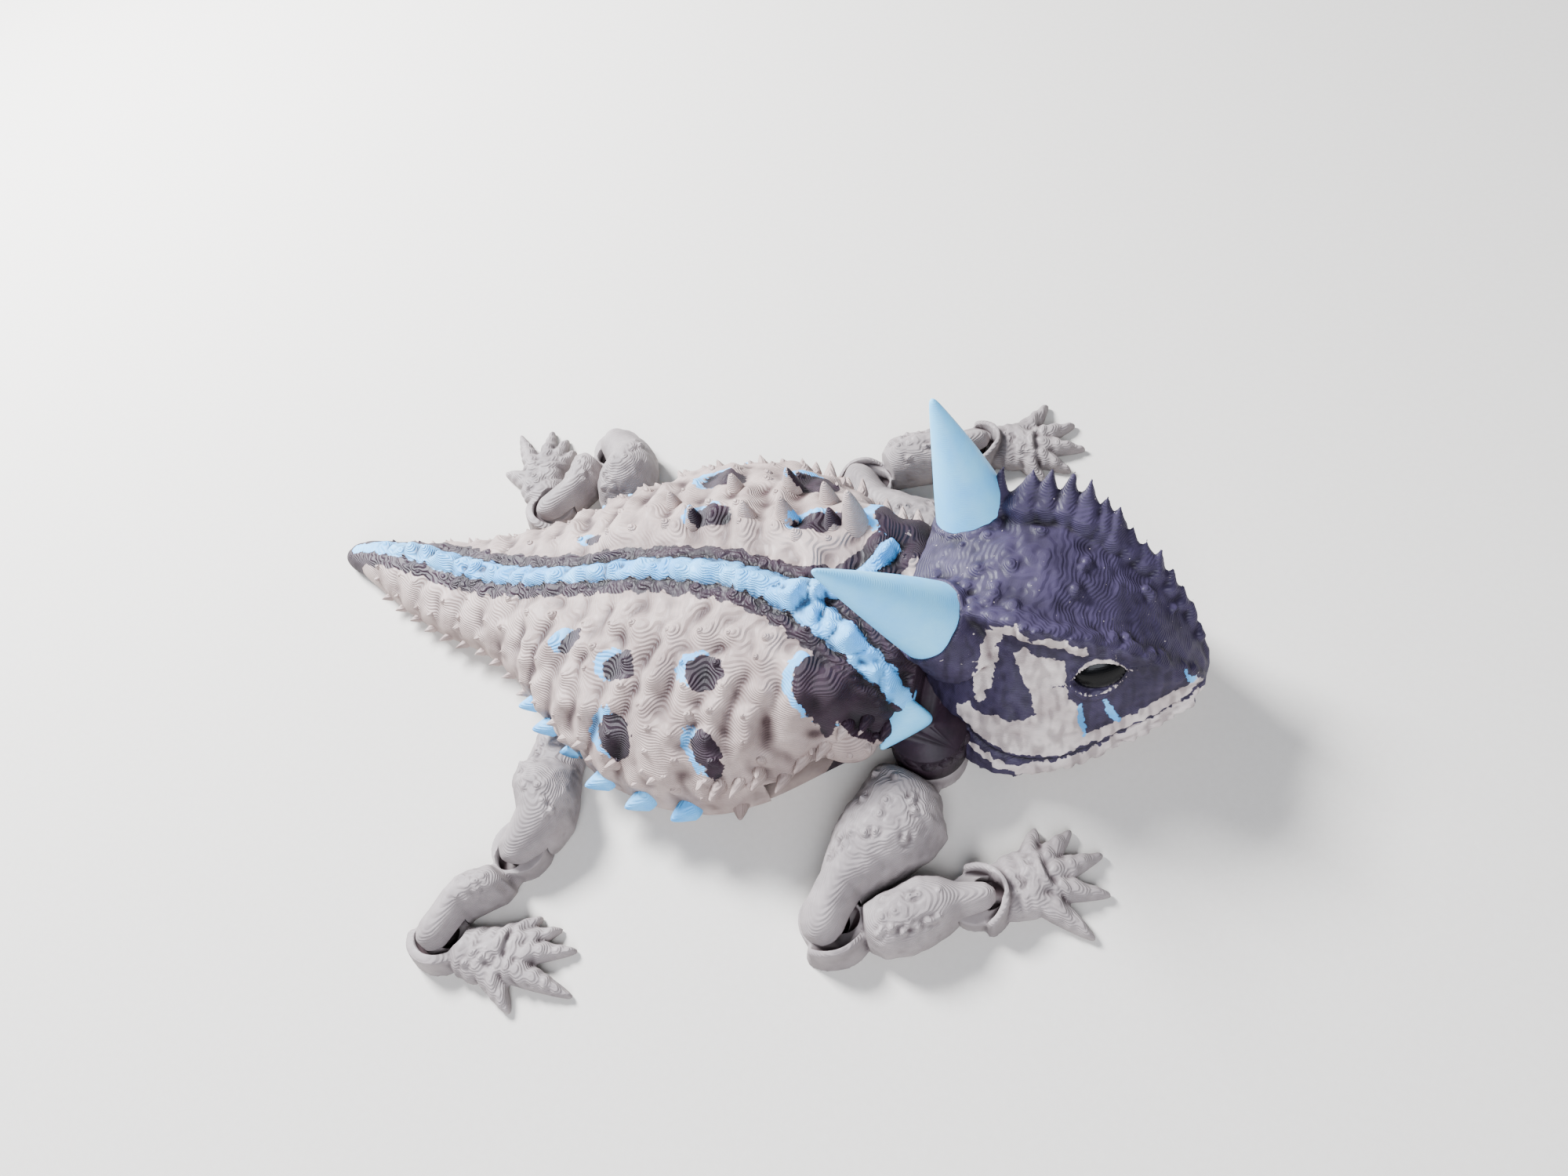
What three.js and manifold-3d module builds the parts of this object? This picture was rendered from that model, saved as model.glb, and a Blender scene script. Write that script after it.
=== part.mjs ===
// An articulated horned lizard toy, printed in place in one go from coloured plastic: a spiny domed
// torso with a tail and a horned head in one stiff piece, and four legs of three links each. Every
// link hangs on an upright flared pin that turns in a ring, so the legs swing flat over the table.
// Millimetres. +X runs to the snout, +Y to the toy's left, +Z up; the origin is on the table under
// the middle of the torso.
import * as THREE from 'three';
import { mergeVertices } from 'three/addons/utils/BufferGeometryUtils.js';
import Module from 'manifold-3d';

const wasm = await Module();
wasm.setup();

// Driving dimensions
const LENGTH = 173;              // snout to tail tip
const SNOUT_X = 0.48 * LENGTH;
const TAIL_TIP_X = SNOUT_X - LENGTH;
const SEAM = 0.3;                // gap between pieces of one body
const PLAY = 0.45;               // gap round a pin and over a ring
const BELOW = 30;                // how far down the cut under the table goes
const SUNK = 0.5;                // how far under it pieces reach before that cut
const TAIL_CUT_X = -0.21 * LENGTH;
const NECK_X = 0.22 * LENGTH;

// Plain plastics
const SAND = new THREE.MeshStandardMaterial({ color: 0xc3b7ad, roughness: 0.55, metalness: 0 });
const DUSK = new THREE.MeshStandardMaterial({ color: 0xa79f9c, roughness: 0.55, metalness: 0 });
const PLUM = new THREE.MeshStandardMaterial({ color: 0x5a4f63, roughness: 0.5, metalness: 0 });
const SKY = new THREE.MeshStandardMaterial({ color: 0xa9dcf5, roughness: 0.4, metalness: 0 });
const BLACK = new THREE.MeshStandardMaterial({ color: 0x0d0d10, roughness: 0.3, metalness: 0 });

const { degToRad, clamp, lerp } = THREE.MathUtils;
const UP = new THREE.Vector3(0, 1, 0);

// A seeded draw, so that the bumps fall the same way each time
let seed = 7;
function draw(low, high) {
  seed = (seed * 16807) % 2147483647;
  return lerp(low, high, seed / 2147483647);
}

function flipped(geometry) {
  const turned = geometry.clone();
  const index = turned.index.array;
  for (let i = 0; i < index.length; i += 3) {
    [index[i], index[i + 1]] = [index[i + 1], index[i]];
  }
  return turned;
}

function volume(geometry) {
  const position = geometry.getAttribute('position');
  const index = geometry.index.array;
  const [a, b, c] = [new THREE.Vector3(), new THREE.Vector3(), new THREE.Vector3()];
  let sum = 0;
  for (let i = 0; i < index.length; i += 3) {
    a.fromBufferAttribute(position, index[i]);
    b.fromBufferAttribute(position, index[i + 1]);
    c.fromBufferAttribute(position, index[i + 2]);
    sum += a.dot(b.cross(c)) / 6;
  }
  return sum;
}

// A solid from a closed geometry, its faces turned to point out
function solid(geometry) {
  const bare = new THREE.BufferGeometry();
  bare.setAttribute('position', geometry.getAttribute('position').clone());
  if (geometry.index) bare.setIndex(geometry.index.clone());
  const merged = mergeVertices(bare, 1e-4);
  const { index, attributes } = volume(merged) < 0 ? flipped(merged) : merged;
  return new wasm.Manifold(new wasm.Mesh({
    numProp: 3,
    vertProperties: new Float32Array(attributes.position.array),
    triVerts: new Uint32Array(index.array),
  }));
}

function join(pieces) {
  return pieces.reduce((whole, piece) => whole.add(piece));
}

function cut(piece, tools) {
  return tools.reduce((rest, tool) => rest.subtract(tool), piece);
}

const underTable = solid(new THREE.BoxGeometry(3 * LENGTH, 3 * LENGTH, BELOW)
  .translate(0, 0, -BELOW / 2));

// The largest closed surface of a solid above the table, as a geometry
function finished(piece) {
  const shells = piece.subtract(underTable).decompose();
  const largest = shells.reduce((best, shell) => (shell.volume() > best.volume() ? shell : best));
  const data = largest.getMesh();
  const geometry = new THREE.BufferGeometry();
  geometry.setAttribute('position', new THREE.BufferAttribute(data.vertProperties, 3));
  geometry.setIndex(new THREE.BufferAttribute(data.triVerts, 1));
  geometry.computeVertexNormals();
  return geometry;
}

function mirrored(geometry) {
  return geometry.clone().scale(1, -1, 1);
}

function mesh(name, geometry, material) {
  const named = new THREE.Mesh(geometry, material);
  named.name = name;
  return named;
}

// A closed cylinder whose points are moved by place(step, turn, rim): step counts the stations
// along it, turn is the angle round it, rim is false at the middle of either end
function formed(sides, steps, place) {
  const geometry = new THREE.CylinderGeometry(1, 1, 1, sides, steps);
  const position = geometry.getAttribute('position');
  const point = new THREE.Vector3();
  for (let i = 0; i < position.count; i += 1) {
    point.fromBufferAttribute(position, i);
    const rim = Math.hypot(point.x, point.z) > 0.5;
    const step = Math.round((0.5 - point.y) * steps);
    const moved = place(step, Math.atan2(point.z, point.x), rim);
    position.setXYZ(i, moved.x, moved.y, moved.z);
  }
  return geometry;
}

// A figure across a piece at station x: flat underneath, widest at the rim height, domed on top
function domed(x, left, right, rimHeight, top, turn, rim) {
  const middle = (left - right) / 2;
  const halfWidth = (left + right) / 2;
  if (!rim) return new THREE.Vector3(x, middle, rimHeight);
  const across = Math.cos(turn);
  const up = Math.sin(turn);
  if (up >= 0) {
    const z = rimHeight + (top - rimHeight) * up ** 0.85;
    return new THREE.Vector3(x, middle + halfWidth * across, z);
  }
  const under = Math.min(1, -2.1 * up);
  const y = middle + halfWidth * across * (1 - 0.1 * under);
  return new THREE.Vector3(x, y, lerp(rimHeight, -SUNK, under));
}

// A cone with its root sunk in, pointing along a direction
function spike(base, direction, length, radius, sides = 5) {
  const sunk = 0.4 * length;
  const cone = new THREE.ConeGeometry(radius, length + sunk, sides);
  cone.translate(0, (length - sunk) / 2, 0);
  const aim = direction.clone().normalize();
  cone.applyQuaternion(new THREE.Quaternion().setFromUnitVectors(UP, aim));
  return solid(cone.translate(base.x, base.y, base.z));
}

function bead(centre, long, wide, high) {
  const ball = new THREE.SphereGeometry(1, 6, 4).rotateX(Math.PI / 2).scale(long, wide, high);
  return solid(ball.translate(centre.x, centre.y, centre.z));
}

function drumShape(radius, from, to, x = 0, y = 0, sides = 18) {
  const cylinder = new THREE.CylinderGeometry(radius, radius, to - from, sides);
  return cylinder.rotateX(Math.PI / 2).translate(x, y, (from + to) / 2);
}

const PIN_SIDES = 12;

// A lathed profile of [radius, height] pairs about an upright axis
function lathed(profile, x = 0, y = 0) {
  const points = profile.map(([radius, height]) => new THREE.Vector2(radius, height));
  return new THREE.LatheGeometry(points, PIN_SIDES).rotateX(Math.PI / 2).translate(x, y, 0);
}

// Joints: a flared pin in a ring, in three sizes
const RINGS = {
  root: { ring: 0.036 * LENGTH, foot: 3.7, neck: 2.5, height: 4.4 },
  bend: { ring: 0.0295 * LENGTH, foot: 3.1, neck: 2.0, height: 4.3 },
  foot: { ring: 0.025 * LENGTH, foot: 2.6, neck: 1.7, height: 3.5 },
};
const ROOT_CLEAR = RINGS.root.ring + 0.7;      // where a leg's full height starts from its pin
const CAP = 0.0225 * LENGTH;                   // radius of the end that holds a pin

function pinShape({ foot, neck, height }, top, x, y) {
  const shoulder = height + PLAY;
  return lathed([[0, -SUNK], [foot, -SUNK], [neck, shoulder], [neck, top], [0, top]], x, y);
}

function pinHole({ foot, neck, height }) {
  const flare = (foot - neck) / (height + PLAY);
  const low = foot + PLAY + flare;
  const high = foot + PLAY - flare * (height + 1);
  return solid(lathed([[0, -1], [low, -1], [high, height + 1], [0, height + 1]]));
}

// Body: half width and height, as shares of the length, at stations from tail tip to neck
const BODY_FORM = [
  [-0.52, 0.012, 0.02, 0.05], [-0.49, 0.02, 0.034, 0.048], [-0.45, 0.03, 0.046, 0.038],
  [-0.4, 0.044, 0.055, 0.026], [-0.34, 0.06, 0.064, 0.017], [-0.28, 0.075, 0.074, 0.017],
  [-0.23, 0.094, 0.09, 0.014], [-0.18, 0.125, 0.105, 0.006], [-0.13, 0.158, 0.12, 0],
  [-0.07, 0.19, 0.138, 0], [-0.01, 0.204, 0.15, 0], [0.05, 0.2, 0.156, 0],
  [0.1, 0.175, 0.157, 0.002], [0.14, 0.143, 0.153, 0.005], [0.18, 0.115, 0.15, 0.01],
  [0.24, 0.1, 0.146, 0.02],
];
const RIM = 0.042 * LENGTH;

function bodyAt(x) {
  const share = x / LENGTH;
  let i = 1;
  while (i < BODY_FORM.length - 1 && BODY_FORM[i][0] < share) i += 1;
  const [from, ...low] = BODY_FORM[i - 1];
  const [to, ...high] = BODY_FORM[i];
  const t = clamp((share - from) / (to - from), 0, 1);
  const [halfWidth, top, middle] = low.map((value, k) => LENGTH * lerp(value, high[k], t));
  return { halfWidth, top, middle, rim: Math.min(RIM, 0.36 * top) };
}

function bodyPoint(x, turn, rim = true) {
  const { halfWidth, top, middle, rim: rimHeight } = bodyAt(x);
  return domed(x, halfWidth + middle, halfWidth - middle, rimHeight, top, turn, rim);
}

function bodyLength(fromX, toX, sides, steps) {
  return solid(formed(sides, steps,
    (step, turn, rim) => bodyPoint(lerp(fromX, toX, step / steps), turn, rim)));
}

// The way out of the body at a point of its dome
function bodyOut(x, turn) {
  const along = bodyPoint(x + 1, turn).sub(bodyPoint(x - 1, turn));
  const round = bodyPoint(x, turn + 0.1).sub(bodyPoint(x, turn - 0.1));
  return round.cross(along).normalize();
}

// Nubs in rows across the back, from near the stripe down to the fringe on both flanks
function nubs(fromX, toX, pitch, size) {
  const made = [];
  for (let x = fromX; x < toX; x += pitch) {
    const count = Math.max(1, Math.round(bodyAt(x).halfWidth / (1.15 * pitch)));
    for (let k = 0; k < count; k += 1) {
      for (const flank of [-1, 1]) {
        const fromTop = lerp(0.27, 1.35, (k + 0.5 + draw(-0.22, 0.22)) / count);
        const turn = Math.PI / 2 - flank * fromTop;
        const at = x + draw(-0.3, 0.3) * pitch;
        const lean = bodyOut(at, turn).add(new THREE.Vector3(-0.3, 0, 0.3));
        const high = size * draw(0.75, 1.3);
        made.push(spike(bodyPoint(at, turn), lean, high, 0.9 * high));
      }
    }
  }
  return made;
}

// Pointed fringe along both edges
function fringe(fromX, toX, count, length, rise) {
  const made = [];
  for (let i = 0; i < count; i += 1) {
    const x = lerp(fromX, toX, i / (count - 1));
    for (const flank of [-1, 1]) {
      const turn = flank > 0 ? rise : Math.PI - rise;
      const out = bodyOut(x, turn).add(new THREE.Vector3(-0.2, 0, 0.45));
      made.push(spike(bodyPoint(x, turn), out, length * draw(0.85, 1.15), 0.45 * length));
    }
  }
  return made;
}

function stripeBeads(fromX, toX, count) {
  return Array.from({ length: count }, (_, i) => {
    const x = lerp(fromX, toX, i / (count - 1));
    const wide = lerp(1.3, 2.4, clamp((x - TAIL_TIP_X) / (0.5 * LENGTH), 0, 1));
    const long = 0.62 * (toX - fromX) / count;
    return bead(bodyPoint(x, Math.PI / 2), long, wide, 0.5 * wide);
  });
}

// Legs: where they hang, and how far back from straight out they swing, in degrees
const SHOULDER = { x: 0.231 * LENGTH, y: -0.084 * LENGTH, forward: 14, back: 46 };
const HIP = { x: -0.147 * LENGTH, y: -0.0955 * LENGTH, forward: -8, back: 32 };
const ARM_TOP = 0.069 * LENGTH;
const THIGH_TOP = 0.065 * LENGTH;
const THIGH_ROOT_TOP = 0.037 * LENGTH;  // under the fringe

// The slab that a leg of a given half width sweeps, from one radius to another
function sweep({ x, y, forward, back }, halfWidth, from, to, top) {
  const reach = halfWidth + 0.5;
  const ends = [-90 - back, -90 - forward].map(degToRad);
  const fan = new THREE.Shape();
  fan.absarc(0, 0, to, ends[0], ends[1], false);
  fan.absarc(0, 0, from, ends[1], ends[0], true);
  fan.closePath();
  const options = { depth: top + 1, bevelEnabled: false, curveSegments: 10 };
  const pieces = [new THREE.ExtrudeGeometry(fan, options).translate(0, 0, -1)];
  for (const end of ends) {
    const bar = new THREE.BoxGeometry(to - from, 2 * reach, top + 1);
    bar.translate((from + to) / 2, 0, (top - 1) / 2).rotateZ(end);
    pieces.push(bar);
  }
  return pieces.map((piece) => piece.translate(x, y, 0));
}

function ringRoom({ x, y }) {
  return drumShape(RINGS.root.ring + PLAY, -1, RINGS.root.height + PLAY, x, y);
}

const shoulderRooms = [
  ringRoom(SHOULDER),
  ...sweep(SHOULDER, 4.6, 1, ROOT_CLEAR + 0.5, RINGS.root.height + PLAY),
  ...sweep(SHOULDER, 6.6, ROOT_CLEAR - 0.5, 0.16 * LENGTH, ARM_TOP + 0.5),
];
const hipRooms = [
  ringRoom(HIP),
  ...sweep(HIP, 4.8, 1, ROOT_CLEAR + 0.5, RINGS.root.height + PLAY),
  ...sweep(HIP, 5.6, ROOT_CLEAR - 0.5, 0.16 * LENGTH, THIGH_ROOT_TOP + 0.5),
  ...sweep(HIP, 5.6, 0.075 * LENGTH, 0.16 * LENGTH, THIGH_TOP + 0.5),
];

function bothSides(shapes) {
  return shapes.flatMap((shape) => [solid(shape), solid(mirrored(shape))]);
}

// Torso
const BLOCK_TOP = 0.067 * LENGTH;

// The shoulder block under the neck, grown by a margin where the head is cut to it
function shoulderBlock(margin) {
  const top = BLOCK_TOP + margin;
  const bar = new THREE.BoxGeometry(15 + 2 * margin, 2 * 13 + 2 * margin, top + SUNK);
  bar.translate(SHOULDER.x - 5, 0, (top - SUNK) / 2);
  const { x, y } = SHOULDER;
  const cap = drumShape(ROOT_CLEAR - 0.5 + margin, -SUNK, top, x, y);
  return join([solid(bar), ...bothSides([cap])]);
}

// Horns and collar spikes stand in round seats, listed for the right side and the left
const HORNS = [
  { side: 'right', base: new THREE.Vector3(41, -3.5, 26), tip: new THREE.Vector3(25.1, -10.2, 48) },
  { side: 'left', base: new THREE.Vector3(43.4, 17, 26), tip: new THREE.Vector3(35.9, 24, 48) },
];
const COLLAR_SPIKES = [
  { side: 'right', base: new THREE.Vector3(37.5, -13, 14.5), tip: new THREE.Vector3(33.5, -20, 12) },
  { side: 'left', base: new THREE.Vector3(30, 12, 17), tip: new THREE.Vector3(31.2, 19, 19.5) },
];
const HORN_RADIUS = 0.0385 * LENGTH;
const COLLAR_RADIUS = 0.021 * LENGTH;

function stood({ base, tip }, shape) {
  const aim = tip.clone().sub(base).normalize();
  shape.applyQuaternion(new THREE.Quaternion().setFromUnitVectors(UP, aim));
  return solid(shape.translate(base.x, base.y, base.z));
}

function seat(spot, radius, depth) {
  const high = 0.12 * LENGTH;
  const cylinder = new THREE.CylinderGeometry(radius, radius, high, 16);
  return stood(spot, cylinder.translate(0, high / 2 - depth, 0));
}

// A horn with a slightly swollen root and a blunt point
function horn(spot, radius, depth) {
  const length = spot.tip.distanceTo(spot.base);
  const profile = [[0, -depth], [radius, -depth], [0.93 * radius, 0.16 * length],
    [0.66 * radius, 0.45 * length], [0.36 * radius, 0.74 * length],
    [0.12 * radius, 0.96 * length], [0, length]];
  const points = profile.map(([r, height]) => new THREE.Vector2(r, height));
  return finished(stood(spot, new THREE.LatheGeometry(points, 16)));
}

const HORN_SINK = 1.6;
const COLLAR_SINK = 1.2;

function torsoPiece() {
  const skin = join([
    bodyLength(TAIL_CUT_X + SEAM / 2, NECK_X - SEAM / 2, 24, 14),
    shoulderBlock(0),
    ...nubs(TAIL_CUT_X + 3, NECK_X - 5, 0.043 * LENGTH, 0.012 * LENGTH),
    ...fringe(-0.19 * LENGTH, 0.15 * LENGTH, 10, 0.022 * LENGTH, 0.05),
    ...fringe(-0.15 * LENGTH, 0.13 * LENGTH, 7, 0.015 * LENGTH, 0.34),
    ...stripeBeads(TAIL_CUT_X + 3, 0.14 * LENGTH, 11),
    spike(bodyPoint(0.115 * LENGTH, 0.45), new THREE.Vector3(-0.1, 0.3, 1), 7.5, 2.6, 7),
  ]);
  const front = new THREE.BoxGeometry(40, 100, 80).translate(NECK_X + 20 - SEAM / 2, 0, 40);
  const overBlock = solid(front.translate(0, 0, BLOCK_TOP));
  const behind = solid(new THREE.BoxGeometry(60, 100, 80).translate(TAIL_CUT_X - 30, 0, 40)
    .translate(SEAM / 2, 0, 0));
  const seats = [
    ...COLLAR_SPIKES.map((spot) => seat(spot, COLLAR_RADIUS + SEAM, COLLAR_SINK + SEAM)),
    ...HORNS.map((spot) => seat(spot, HORN_RADIUS + SEAM, HORN_SINK + SEAM)),
  ];
  const rooms = bothSides([...shoulderRooms, ...hipRooms]);
  const carved = cut(skin, [overBlock, behind, ...seats, ...rooms]);
  const pins = [SHOULDER, HIP].map(({ x, y }) => pinShape(RINGS.root, 6.5, x, y));
  return finished(join([carved, ...bothSides(pins)]));
}

function tailPiece() {
  const skin = join([
    bodyLength(TAIL_TIP_X, TAIL_CUT_X - SEAM / 2, 16, 10),
    ...nubs(TAIL_TIP_X + 14, TAIL_CUT_X - 3, 0.04 * LENGTH, 0.011 * LENGTH),
    ...fringe(TAIL_TIP_X + 18, TAIL_CUT_X - 3, 8, 0.014 * LENGTH, 0.05),
    ...stripeBeads(TAIL_TIP_X + 6, TAIL_CUT_X - 3, 11),
  ]);
  const front = new THREE.BoxGeometry(60, 100, 80).translate(TAIL_CUT_X + 30 - SEAM / 2, 0, 40);
  return finished(cut(skin, [solid(front), ...bothSides(hipRooms)]));
}

// Head: stations from neck to snout, in shares of the length: how far ahead of the neck, jaw half
// width, crest half width, crest height, underside height
const HEAD_FORM = [
  [0, 0.075, 0.052, 0.168, -0.003], [0.03, 0.11, 0.062, 0.18, -0.003],
  [0.065, 0.13, 0.068, 0.188, -0.003], [0.105, 0.132, 0.071, 0.19, -0.003],
  [0.14, 0.117, 0.065, 0.179, -0.003], [0.17, 0.095, 0.057, 0.164, -0.003],
  [0.2, 0.071, 0.047, 0.145, 0.004], [0.225, 0.054, 0.038, 0.122, 0.012],
  [0.247, 0.038, 0.027, 0.092, 0.022], [0.258, 0.019, 0.012, 0.068, 0.032],
];
const HEAD_MIDDLE = 0.046 * LENGTH;
const HEAD_TURN = -6;
const JAW_RISE = 0.026 * LENGTH;

function headFrame(point) {
  return point.applyAxisAngle(new THREE.Vector3(0, 0, 1), degToRad(HEAD_TURN))
    .add(new THREE.Vector3(NECK_X + SEAM / 2, HEAD_MIDDLE, 0));
}

function headForm(step) {
  return HEAD_FORM[step].map((share) => share * LENGTH);
}

// A corner of the head's section: 0 under the middle, 4 the cheek, 6 the crest, 8 the crown's middle
function headCorner(step, corner) {
  const [ahead, jaw, crest, high, low] = headForm(step);
  const jawHigh = Math.min(low + JAW_RISE, 0.5 * (low + high));
  const corners = [
    [0, low], [0.55 * jaw, low], [0.95 * jaw, jawHigh - 0.012 * LENGTH], [jaw, jawHigh + 1],
    [lerp(jaw, crest, 0.42), lerp(jawHigh, high, 0.45)], [crest + 0.8, lerp(jawHigh, high, 0.83)],
    [crest, high], [0.6 * crest, high - 0.8], [0, high - 0.3],
  ];
  const [y, z] = corners[corner];
  return new THREE.Vector3(ahead, y, z);
}

function headPoint(step, corner, flank) {
  const point = headCorner(step, corner);
  return headFrame(point.setY(flank * point.y));
}

function headSkin() {
  return solid(formed(16, HEAD_FORM.length - 1, (step, turn, rim) => {
    if (!rim) {
      const [ahead, , , high, low] = headForm(step);
      return headFrame(new THREE.Vector3(ahead, 0, 0.5 * (high + low)));
    }
    const around = Math.round((turn + Math.PI / 2) / (Math.PI / 8) + 16) % 16;
    return headPoint(step, around > 8 ? 16 - around : around, around > 8 ? -1 : 1);
  }));
}

function crestSpikes() {
  const made = [];
  for (let step = 1; step < HEAD_FORM.length - 1; step += 0.5) {
    const low = Math.floor(step);
    for (const flank of [-1, 1]) {
      const near = headPoint(low, 6, flank);
      const far = headPoint(Math.ceil(step), 6, flank);
      const base = near.lerp(far, step - low);
      const size = lerp(4.4, 2.2, Math.abs(step - 3) / 6);
      const lean = new THREE.Vector3(-0.35, 0.5 * flank, 1);
      made.push(spike(base, lean, size * draw(0.85, 1.15), 0.62 * size));
    }
  }
  return made;
}

function jawSpikes() {
  const made = [];
  for (let step = 1; step < HEAD_FORM.length - 2; step += 0.5) {
    const low = Math.floor(step);
    for (const flank of [-1, 1]) {
      const base = headPoint(low, 2, flank).lerp(headPoint(Math.ceil(step), 2, flank), step - low);
      made.push(spike(base, new THREE.Vector3(-0.2, flank, 0.1), 1.8, 1.3));
    }
  }
  return made;
}

const EYE = { step: 5, long: 0.021 * LENGTH, wide: 0.012 * LENGTH, high: 0.014 * LENGTH };

function eyeShape(flank, margin) {
  const { step, long, wide, high } = EYE;
  const centre = headPoint(step, 4, flank).lerp(headPoint(step, 5, flank), 0.75);
  const ball = new THREE.SphereGeometry(1, 10, 6).rotateX(Math.PI / 2);
  ball.scale(long + margin, wide + margin, high + margin).rotateX(flank * -0.5);
  return solid(ball.rotateZ(degToRad(HEAD_TURN - flank * 24)).translate(centre.x, centre.y, centre.z));
}

function headPiece() {
  const skin = join([headSkin(), ...crestSpikes(), ...jawSpikes()]);
  const behind = new THREE.BoxGeometry(60, 100, 80).translate(NECK_X - 30 + SEAM / 2, 0, 40);
  const seats = HORNS.map((spot) => seat(spot, HORN_RADIUS + SEAM, HORN_SINK + SEAM));
  const sockets = [-1, 1].map((flank) => eyeShape(flank, SEAM));
  const rooms = bothSides(shoulderRooms);
  return finished(cut(skin, [solid(behind), shoulderBlock(SEAM), ...seats, ...sockets, ...rooms]));
}

// A leg link lies along +X from its ring at the origin to its pin at its length. Each station
// gives its place, its half widths to the left and right and its height.
function linkShape(stations) {
  return formed(12, stations.length - 1, (step, turn, rim) => {
    const [x, left, right, top] = stations[step];
    return domed(x, left, right, 0.3 * top, top, turn, rim);
  });
}

function studs(spots, size) {
  return spots.map(([x, y, z]) => spike(new THREE.Vector3(x, y, z),
    new THREE.Vector3(-0.3, y / 6, 1), size, 0.6 * size));
}

function link({ length, root, tip, capTop, stations, spots }) {
  const { ring, height } = RINGS[root];
  const base = join([solid(linkShape(stations)), solid(drumShape(ring, -SUNK, height)),
    ...studs(spots, 1.7)]);
  const holder = RINGS[tip];
  const cap = solid(drumShape(CAP, 1, capTop, length));
  const room = solid(drumShape(holder.ring + PLAY, -1, holder.height + PLAY, length));
  const held = base.add(cap).subtract(room).add(solid(pinShape(holder, capTop - 1, length, 0)));
  return finished(held.subtract(pinHole(RINGS[root])));
}

// How wide a link may be on the side it folds to, at a distance from the pin it folds on
function foldWidth(distance, share = 0.4) {
  return share * distance;
}

const ARM_LENGTH = 0.194 * LENGTH;
const FOREARM_LENGTH = 0.133 * LENGTH;
const THIGH_LENGTH = 0.166 * LENGTH;
const SHIN_LENGTH = 0.108 * LENGTH;

const upperArm = link({
  length: ARM_LENGTH,
  root: 'root',
  tip: 'bend',
  capTop: 7.8,
  stations: [
    [2, 4.4, 4.4, 4.4], [ROOT_CLEAR - 0.3, 4.6, 4.6, 4.4], [ROOT_CLEAR, 6, 6, 9],
    [9, 6.7, 6.3, ARM_TOP - 0.8], [13, 9, 6.5, ARM_TOP], [17, 9.2, 6.8, ARM_TOP],
    [20.5, 7.9, 6.8, ARM_TOP - 0.5], [24, foldWidth(ARM_LENGTH - 24, 0.62), 6.2, ARM_TOP - 1.8],
    [ARM_LENGTH - 5.4, foldWidth(5.4, 0.55), 5, 8.8], [ARM_LENGTH - 2, 1.6, 3.8, 7.8],
  ],
  spots: [[12, 3, 10.8], [12, -3, 10.8], [18, 0, 11.6], [22, -3, 10]],
});

const forearm = link({
  length: FOREARM_LENGTH,
  root: 'bend',
  tip: 'foot',
  capTop: 6.6,
  stations: [
    [2, 3.6, 3.6, 4.3], [5.3, 1.6, 4, 4.3], [5.7, foldWidth(5.7, 0.3), 4.8, 7.4],
    [8, foldWidth(8, 0.32), 6, 9], [12, foldWidth(12, 0.33), 6.2, 9.3], [15, 5, 6, 9],
    [18, 4.4, 4.8, 8], [FOREARM_LENGTH - 2, 3.2, 3.2, 6.6],
  ],
  spots: [[8, -4, 6.6], [12, -4.2, 6.6], [13, 2, 8.2], [16, -2, 8]],
});

const thigh = link({
  length: THIGH_LENGTH,
  root: 'root',
  tip: 'bend',
  capTop: 7.8,
  stations: [
    [2, 4.4, 4.4, 4.4], [ROOT_CLEAR - 0.3, 4.6, 4.6, 4.4], [ROOT_CLEAR, 5.4, 5.6, THIGH_ROOT_TOP],
    [13, 5.4, 5.6, THIGH_ROOT_TOP], [15.5, 6.4, 5.7, 9.6], [19, 7.9, 5.2, THIGH_TOP],
    [THIGH_LENGTH - 5.4, 8.2, foldWidth(5.4, 0.45), 10.4], [THIGH_LENGTH - 1, 6, 1.6, 8.6],
    [THIGH_LENGTH + 1.5, 3.6, 1, 7.8],
  ],
  spots: [[17, 3, 9.6], [19, -1, 10.6], [22, 3, 9.6]],
});

const shin = link({
  length: SHIN_LENGTH,
  root: 'bend',
  tip: 'foot',
  capTop: 6.4,
  stations: [
    [2, 3.6, 3.6, 4.3], [5.3, 4, 2, 4.3], [5.7, 4.8, foldWidth(5.7, 0.34), 7],
    [8, foldWidth(SHIN_LENGTH - 8, 0.48), foldWidth(8, 0.4), 8.2],
    [10.5, foldWidth(SHIN_LENGTH - 10.5, 0.48), foldWidth(10.5, 0.44), 8.2],
    [SHIN_LENGTH - 5, foldWidth(5, 0.44), 4.5, 7.6], [SHIN_LENGTH - 1.5, 1.4, 3.4, 6.4],
  ],
  spots: [[8, 0, 7.4], [11, -2, 7]],
});

// A foot: a flat palm on its ring, with pointed toes given as heading and length from the palm.
// The palm's left and right half widths are given at four places along it.
function foot({ palm, toes }) {
  const { ring, height } = RINGS.foot;
  const last = palm.length - 1;
  const parts = [
    drumShape(ring, -SUNK, height),
    formed(12, last, (step, turn, rim) => {
      const [x, left, right] = palm[step];
      return domed(x, left, right, 1.3, x < ring + 0.6 ? height : PALM_TOP, turn, rim);
    }),
  ];
  const middle = palm[last - 1];
  for (const [heading, length] of toes) {
    const toe = formed(8, TOE_FORM.length - 1, (step, turn, rim) => {
      const half = TOE_FORM[step];
      const t = step / (TOE_FORM.length - 1);
      return domed(lerp(1.5, length, t), half, half, 1, lerp(3.6, 1.5, t), turn, rim);
    });
    parts.push(toe.rotateZ(degToRad(heading)).translate(middle[0], (middle[1] - middle[2]) / 2, 0));
  }
  return finished(join(parts.map(solid)).subtract(pinHole(RINGS.foot)));
}

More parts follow.
